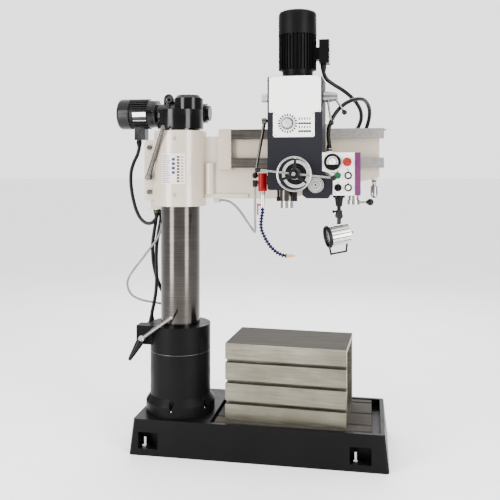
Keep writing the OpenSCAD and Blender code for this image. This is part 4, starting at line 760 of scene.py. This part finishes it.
def ticks(name, centre, y, r_in, r_out, count, wide, body, major=5, start=0.0, sweep=360.0):
    """Radial marks on a face that looks to the front, in millimetres; every major-th is long and wide."""
    shape = Shape()
    for k in range(count):
        t = math.radians(start + sweep * k / count)
        out = Vector((math.cos(t), 0, math.sin(t)))
        across = Vector((-math.sin(t), 0, math.cos(t)))
        inner = r_in if k % major == 0 else r_in + 0.45 * (r_out - r_in)
        half = (wide if k % major == 0 else wide * 0.6) / 2
        outline = [(inner, -half), (r_out, -half), (r_out, half), (inner, half)]
        shape.prism(in_metres(outline), on_front(centre, y), out, across, PRINT_DEPTH)
    return shape.done(name, print_black, body, FLAT)


RIVET = [(0.0042, 0), (0.0040, 0.0009), (0.0026, 0.0017), (0.0, 0.002)]
front_plate("upper_plate", rounded(-66, 283, 172, 448, 2), print_white)
front_plate("lower_plate", rounded(-47, 169, 143, 283, 8), print_white)
rivets = Shape()
for x, z in [(-59, 441), (165, 441), (-59, 290), (165, 290), (-37, 273), (133, 273), (-37, 179), (133, 179)]:
    rivets.lathe(head(x, PLATE_FACE, z), FRONT, RIVET, steps=16)
rivets.done("plate_rivets", polished_steel, "head")
ticks("dial_marks", DIAL, PLATE_FACE, r_in=33, r_out=45, count=20, wide=6.5, body="head", major=1)
bars = []
for row in (252, 231, 214, 195):
    for k in range(5):
        bars.append((74 + 12 * k, row, 11, 9) if row in (231, 195) else (74 + 12 * k, row, 5, 11))
front_bars("speed_table", bars, print_black, lift=0.0016)

# Feed dial: knurled rim and a cap
KNURLS = 40
KNURL_R = 0.0227
KNURL = [(0.0011, 0), (0.0011, 0.017), (0.0004, 0.0182)]
dial = Shape()
for k in range(KNURLS):
    t = 2 * math.pi * k / KNURLS
    out = Vector((math.cos(t), 0, math.sin(t)))
    dial.lathe(on_front(DIAL, DIAL_BACK) + KNURL_R * out, FRONT, KNURL, steps=8)
dial.done("dial_knurl", lever_steel, "dial")
CAP = [(0.0205, 0), (0.0205, 0.0008), (0.0190, 0.0018), (0.0, 0.0022)]
Shape().lathe(on_front(DIAL, DIAL_FACE), FRONT, CAP).done("dial_cap", satin_zinc, "dial", TURNED)

# Spring cover: raised rings and a screw
SCREW = [(0.0052, -0.001), (0.0052, 0.002), (0.0040, 0.003), (0.0, 0.003)]
rings = Shape()
for r, y in ((0.0330, SPRING_DISC), (0.0270, SPRING_DISC), (0.0175, SPRING_BOSS), (0.0120, SPRING_BOSS)):
    profile = [(r + 0.0013, -0.0006), (r + 0.0013, 0.0004), (r, 0.0007), (r - 0.0013, 0.0004),
               (r - 0.0013, -0.0006)]
    rings.lathe(on_front(SPRING, y), FRONT, profile, steps=48)
rings.lathe(on_front(SPRING, SPRING_BOSS), FRONT, SCREW, steps=24)
rings.done("spring_rings", blackened_steel, "head", TURNED)

# Panel: stripe, meter, collars and rims of the buttons, printed marks
front_plate("panel_stripe", [(324, -96.8), (348.8, -96.8), (348.8, 96.8), (324, 96.8)], purple_enamel)
stripe_side = Shape().box(mm(922.8, -300, 1287.2), mm(923.4, -196, 1480.8))
stripe_side.done("panel_stripe_side", purple_enamel, "head", FLAT)
BEZEL = [(0.0384, -0.009), (0.0384, 0.001), (0.0372, 0.003), (0.0300, 0.0040), (0.0268, 0.0030),
         (0.0258, 0.0004)]
FACE = [(0.0258, 0), (0.0258, 0.0006), (0.0, 0.0006)]
NEEDLE = [(-0.004, -0.0012), (0.019, -0.0004), (0.019, 0.0004), (-0.004, 0.0012)]
NEEDLE_ALONG = (-0.5, 0, 0.86)
NEEDLE_ACROSS = (-0.86, 0, -0.5)
SHADE_R = 0.0262
SHADE_DEPTH = 0.0016
bezel = Shape().lathe(on_front(METER, METER_FACE + 0.2), FRONT, BEZEL, steps=48)
bezel.done("meter_bezel", black_plastic, "head", TURNED)
face = Shape().lathe(on_front(METER, METER_FACE), FRONT, FACE, steps=48)
face.done("meter_face", print_white, "head", TURNED)
ticks("meter_marks", METER, METER_FACE - 0.8, r_in=14, r_out=23, count=40, wide=2.4, body="head",
      start=-40, sweep=270)
needle = Shape().prism(NEEDLE, on_front(METER, METER_FACE - 1.2), NEEDLE_ALONG, NEEDLE_ACROSS, PRINT_DEPTH)
needle.done("meter_needle", print_black, "head", FLAT)
arc = [math.radians(205 + 13 * k) for k in range(11)]
lower_part = [(SHADE_R * math.cos(t), SHADE_R * math.sin(t)) for t in arc]
shade = Shape().prism(lower_part, on_front(METER, METER_FACE - 0.4), RIGHT, UP, SHADE_DEPTH)
shade.done("meter_shade", black_plastic, "head", FLAT)
collars = Shape()
for place, wide in ((STOP, 15.5), (START, 15.5), (UPPER, 17.5), (LOWER, 17.5), (SELECTOR, 17.5)):
    r = wide / 1000
    profile = [(r, 0), (r, 0.002), (r - 0.001, 0.003), (0.0084, 0.003)]
    collars.lathe(on_front(place, PANEL_FACE), FRONT, profile, steps=32)
collars.done("button_collars", grey_plastic, "head", TURNED)
BUTTON_RIM = [(0.0134, -0.0045), (0.0134, 0.0004), (0.0128, 0.0009), (0.0102, 0.0009), (0.0100, -0.0003)]
for body, place in (("upper_push", UPPER), ("lower_push", LOWER)):
    rim = Shape().lathe(on_front(place, BUTTON_FACE), FRONT, BUTTON_RIM, steps=40)
    rim.done(body + "_rim", black_plastic, body, TURNED)
marks = [(247, 12, 3, 8), (295, 14, 3, 10), (295, -41, 3, 10), (249, -38, 3, 8), (291, 22, 3, 9)]
marks += [(236, -86, 9, 2.5), (262, -86, 9, 2.5), (224, 6, 22, 2.5)]
front_bars("panel_marks", marks, print_black, lift=0.0004)


# Turned knobs over the balls of the levers
def lever_knob(shape, centre, rod_way, r):
    """A neck where the rod enters, and a ball from 52 degrees below its waist to its far end."""
    profile = [(r * 0.42, -r * 1.18), (r * 0.52, -r * 1.12), (r * 0.55, -r * 0.9)]
    for k in range(11):
        t = math.radians(-52 + 142 * k / 10)
        profile.append((r * 1.03 * math.cos(t), r * 1.03 * math.sin(t)))
    shape.lathe(centre, rod_way, profile, steps=32)


# Body, hub, ball's middle from the hub, way of the rod, ball's radius
KNOBS = []
for angle in (-6, 174):
    out = Vector((math.cos(math.radians(angle)), 0, math.sin(math.radians(angle))))
    KNOBS.append(("feed", FEED_AXIS + mm(0, FEED_LEVERS, 0), 0.172 * out, out, 0.012))
KNOBS += [
    ("speed_inner", head(194.15, -35, 360), mm(24, -90, -128), mm(24, -90, -128), 0.012),
    ("speed_outer", head(226.15, -35, 360), mm(50, -55, -78), mm(50, -55, -78), 0.012),
    ("head_lock", head(-104, -35, 251), mm(-44, -4, -260), mm(-44, -4, -250), 0.014),
    ("head_clamp", head(314, 45, -136.3), mm(78, -10, 2), mm(58, -8, 2), 0.016),
]
knobs = {}
for body, hub, ball, rod_way, r in KNOBS:
    lever_knob(knobs.setdefault(body, Shape()), hub + ball, rod_way, r)
for body, shape in knobs.items():
    shape.done(body + "_knobs", knob_plastic, body, BALL)

# Handwheel: black cap and bright nut on its hub. Feed hub: graduated ring
WHEEL_CAP = [(0.0215, 0), (0.0215, 0.001), (0.0175, 0.0025), (0.013, 0.003), (0.012, 0.002), (0.0, 0.002)]
WHEEL_NUT = [(0.0085, 0), (0.0092, 0.001), (0.0092, 0.005), (0.0080, 0.0062)]
FEED_RING = [(0.0485, 0), (0.0620, 0), (0.0630, 0.001), (0.0630, 0.014), (0.0615, 0.0165), (0.0500, 0.0172),
             (0.0485, 0.012)]
cap = Shape().lathe(FEED_AXIS + mm(0, WHEEL_CAP_BACK, 0), FRONT, WHEEL_CAP, steps=32)
cap.done("wheel_cap", black_plastic, "traverse", TURNED)
nut = Shape().lathe(FEED_AXIS + mm(0, WHEEL_NUT_BACK, 0), FRONT, WHEEL_NUT, steps=6)
nut.done("wheel_nut", polished_steel, "traverse", FLAT)
ring = Shape().lathe(FEED_AXIS + mm(0, FEED_RING_BACK, 0), FRONT, FEED_RING, steps=64)
ring.done("feed_ring", satin_zinc, "feed", TURNED)
ticks("feed_ring_marks", (61.5, 0), FEED_MARKS, r_in=53, r_out=60, count=60, wide=1.2, body="feed")

# Bare plate with a printed block on the front of the lift motor
TILT = math.radians(13.5)
facing = Vector((0, -math.cos(TILT), -math.sin(TILT)))
upward = Vector((0, -math.sin(TILT), math.cos(TILT)))
motor_mid = mm(-228, 85, 1700)
for name, low, high, lift, paint in (("motor_plate", -23, 23, 0.0802, bare_aluminium),
                                     ("motor_plate_print", -21, -1, 0.0812, print_black)):
    outline = in_metres(rounded(-36, low, 36, high, 2))
    plate = Shape().prism(outline, motor_mid + lift * facing, RIGHT, upward, PLATE_DEPTH)
    plate.done(name, paint, "column", FLAT)

# Lamp: the lens and a black rim round it
glass = Paint("lamp_glass")
glass.set(Base_Color=rgb(0.20, 0.205, 0.21), Roughness=glass.range(glass.noise(300, detail=2.0), 0.04, 0.16))
glass.set(Transmission_Weight=0.3, Coat_Weight=0.5)
glass.bump(glass.noise(180, detail=2.0), strength=0.2, distance=0.0006, edge=0)
LENS = [(0.0398, 0), (0.0400, 0.001), (0.0400, 0.003), (0.030, 0.0046), (0.0, 0.0056)]
LAMP_RIM = [(0.0385, -0.0155), (0.0475, -0.004), (0.0495, 0), (0.0495, 0.002), (0.0482, 0.003),
            (0.0465, 0.003), (0.0452, 0.0015), (0.0400, -0.0145)]
lens = Shape().lathe(LAMP_AT + LAMP_TURN @ mm(-49, 0, 0), LAMP_FACING, LENS, steps=48)
lens.done("lamp_lens", glass.material, "lamp", TURNED)
rim = Shape().band(LAMP_AT + LAMP_TURN @ mm(-63, 0, 0), LAMP_FACING, LAMP_RIM)
rim.done("lamp_rim", black_plastic, "lamp", TURNED)


# Sleeve: a bare curved plate with printed rows, and two printed squares
def sleeve_patch(shape, angle_low, angle_high, z_low, z_high, lift, steps=12):
    """A thin patch on the sleeve between two angles in degrees from +X, and two heights in millimetres."""
    first = len(shape.verts)
    for r in (SLEEVE_R + lift, SLEEVE_R + lift + 0.0008):
        for z in (z_low / 1000, z_high / 1000):
            for k in range(steps + 1):
                t = math.radians(angle_low + (angle_high - angle_low) * k / steps)
                shape.verts.append(Vector((r * math.cos(t), r * math.sin(t), z)))
    row = steps + 1
    for k in range(steps):
        a, b, c, d = (first + k + row * m for m in range(4))
        shape.faces += [(c, c + 1, d + 1, d), (a, b, b + 1, a + 1)]
        shape.faces += [(a, a + 1, c + 1, c), (b, d, d + 1, b + 1)]
    for k in (0, steps):
        a, b, c, d = (first + k + row * m for m in range(4))
        shape.faces.append((a, c, d, b) if k == 0 else (a, b, d, c))


PRINT_LIFT = 0.0008
patch = Shape()
sleeve_patch(patch, -118, -64.5, 1331, 1484, PLATE_LIFT)
patch.done("sleeve_plate", print_cream, "arm", FLAT)
rows = Shape()
for k in range(16):
    sleeve_patch(rows, -116.5, -99 if k % 4 else -96, 1338 + 9 * k, 1341.5 + 9 * k, PRINT_LIFT)
rows.done("sleeve_table", print_grey, "arm", FLAT)
rows = Shape()
for z in (1382, 1404, 1426, 1448):
    sleeve_patch(rows, -93, -86, z, z + 14, PRINT_LIFT)
rows.done("sleeve_marks", print_blue, "arm", FLAT)
rows = Shape()
for k in range(9):
    sleeve_patch(rows, -82, -76.5, 1342 + 15 * k, 1351 + 15 * k, PRINT_LIFT)
    sleeve_patch(rows, -74, -68, 1344 + 15 * k, 1348 + 15 * k, PRINT_LIFT)
for z in (1552, 1270):
    for low, high in ((z, z + 2), (z + 12, z + 14)):
        sleeve_patch(rows, -89.5, -83.5, low, high, 0.0)
    for angle in (-89.5, -84.4):
        sleeve_patch(rows, angle, angle + 0.9, z, z + 14, 0.0)
rows.done("sleeve_print", print_black, "arm", FLAT)

# A bare line round the stand
SEAM = [(0.1530, 0), (0.1535, 0), (0.1543, 0.0003), (0.1543, 0.0023), (0.1535, 0.0026), (0.1530, 0.0026)]
Shape().band(mm(0, 0, 479), UP, SEAM).done("stand_seam", lever_steel, "base", TURNED)


# Lights: place, target, width and height in metres, power in watts
def area_light(name, place, target, size, power):
    """A rectangle of light that faces its target."""
    lamp = bpy.data.lights.new(name, "AREA")
    lamp.shape = "RECTANGLE"
    lamp.size, lamp.size_y = size
    lamp.energy = power
    holder = bpy.data.objects.new(name, lamp)
    holder.location = place
    holder.rotation_euler = (Vector(target) - Vector(place)).to_track_quat("-Z", "Y").to_euler()
    bpy.context.scene.collection.objects.link(holder)


area_light("left_strip", (-2.3, -3.1, 1.7), (0.2, 0, 1.1), (1.5, 3.2), 285)
area_light("right_strip", (3.2, -2.5, 1.7), (0.4, 0, 1.1), (1.4, 3.2), 224)
area_light("top", (0.4, -0.6, 4.8), (0.4, 0, 0.8), (3.2, 2.4), 45)
area_light("back", (0.4, 3.6, 3.2), (0.4, 0, 1.0), (3.4, 1.8), 160)

# World: bright overhead and behind the machine and dim in front, so that bare metal has something to show
WORLD_FRONT = 0.25
WORLD_BACK = 2.3
WORLD_TOP = 2.6
world = bpy.data.worlds.new("studio")
bpy.context.scene.world = world
world.use_nodes = True
tree = world.node_tree
sky = tree.nodes["Background"]
direction = tree.nodes.new("ShaderNodeSeparateXYZ")
tree.links.new(tree.nodes.new("ShaderNodeTexCoord").outputs["Generated"], direction.inputs[0])


def ramp(axis, start, end, bright):
    """World strength that grows from WORLD_FRONT to bright as a ray turns towards an axis."""
    node = tree.nodes.new("ShaderNodeMapRange")
    node.interpolation_type = "SMOOTHSTEP"
    tree.links.new(direction.outputs[axis], node.inputs["Value"])
    node.inputs["From Min"].default_value = start
    node.inputs["From Max"].default_value = end
    node.inputs["To Min"].default_value = WORLD_FRONT
    node.inputs["To Max"].default_value = bright
    return node.outputs["Result"]


brightest = tree.nodes.new("ShaderNodeMath")
brightest.operation = "MAXIMUM"
tree.links.new(ramp("Y", 0.45, 0.82, WORLD_BACK), brightest.inputs[0])
tree.links.new(ramp("Z", 0.3, 0.6, WORLD_TOP), brightest.inputs[1])
tree.links.new(brightest.outputs[0], sky.inputs["Strength"])
sky.inputs["Color"].default_value = (1, 1, 1, 1)

# Floor
FLOOR_R = 300
floor_paint = Paint("floor_paint")
floor_tone = floor_paint.range(floor_paint.noise(2), 0, 1)
floor_paint.set(Base_Color=floor_paint.mix(floor_tone, rgb(0.90, 0.90, 0.90), rgb(0.86, 0.86, 0.86)),
                Roughness=0.7)
floor = Shape().lathe((0.4, 0, -0.021), UP, [(FLOOR_R, 0), (FLOOR_R, 0.02)], steps=64)
floor = floor.object("floor", floor_paint.material)
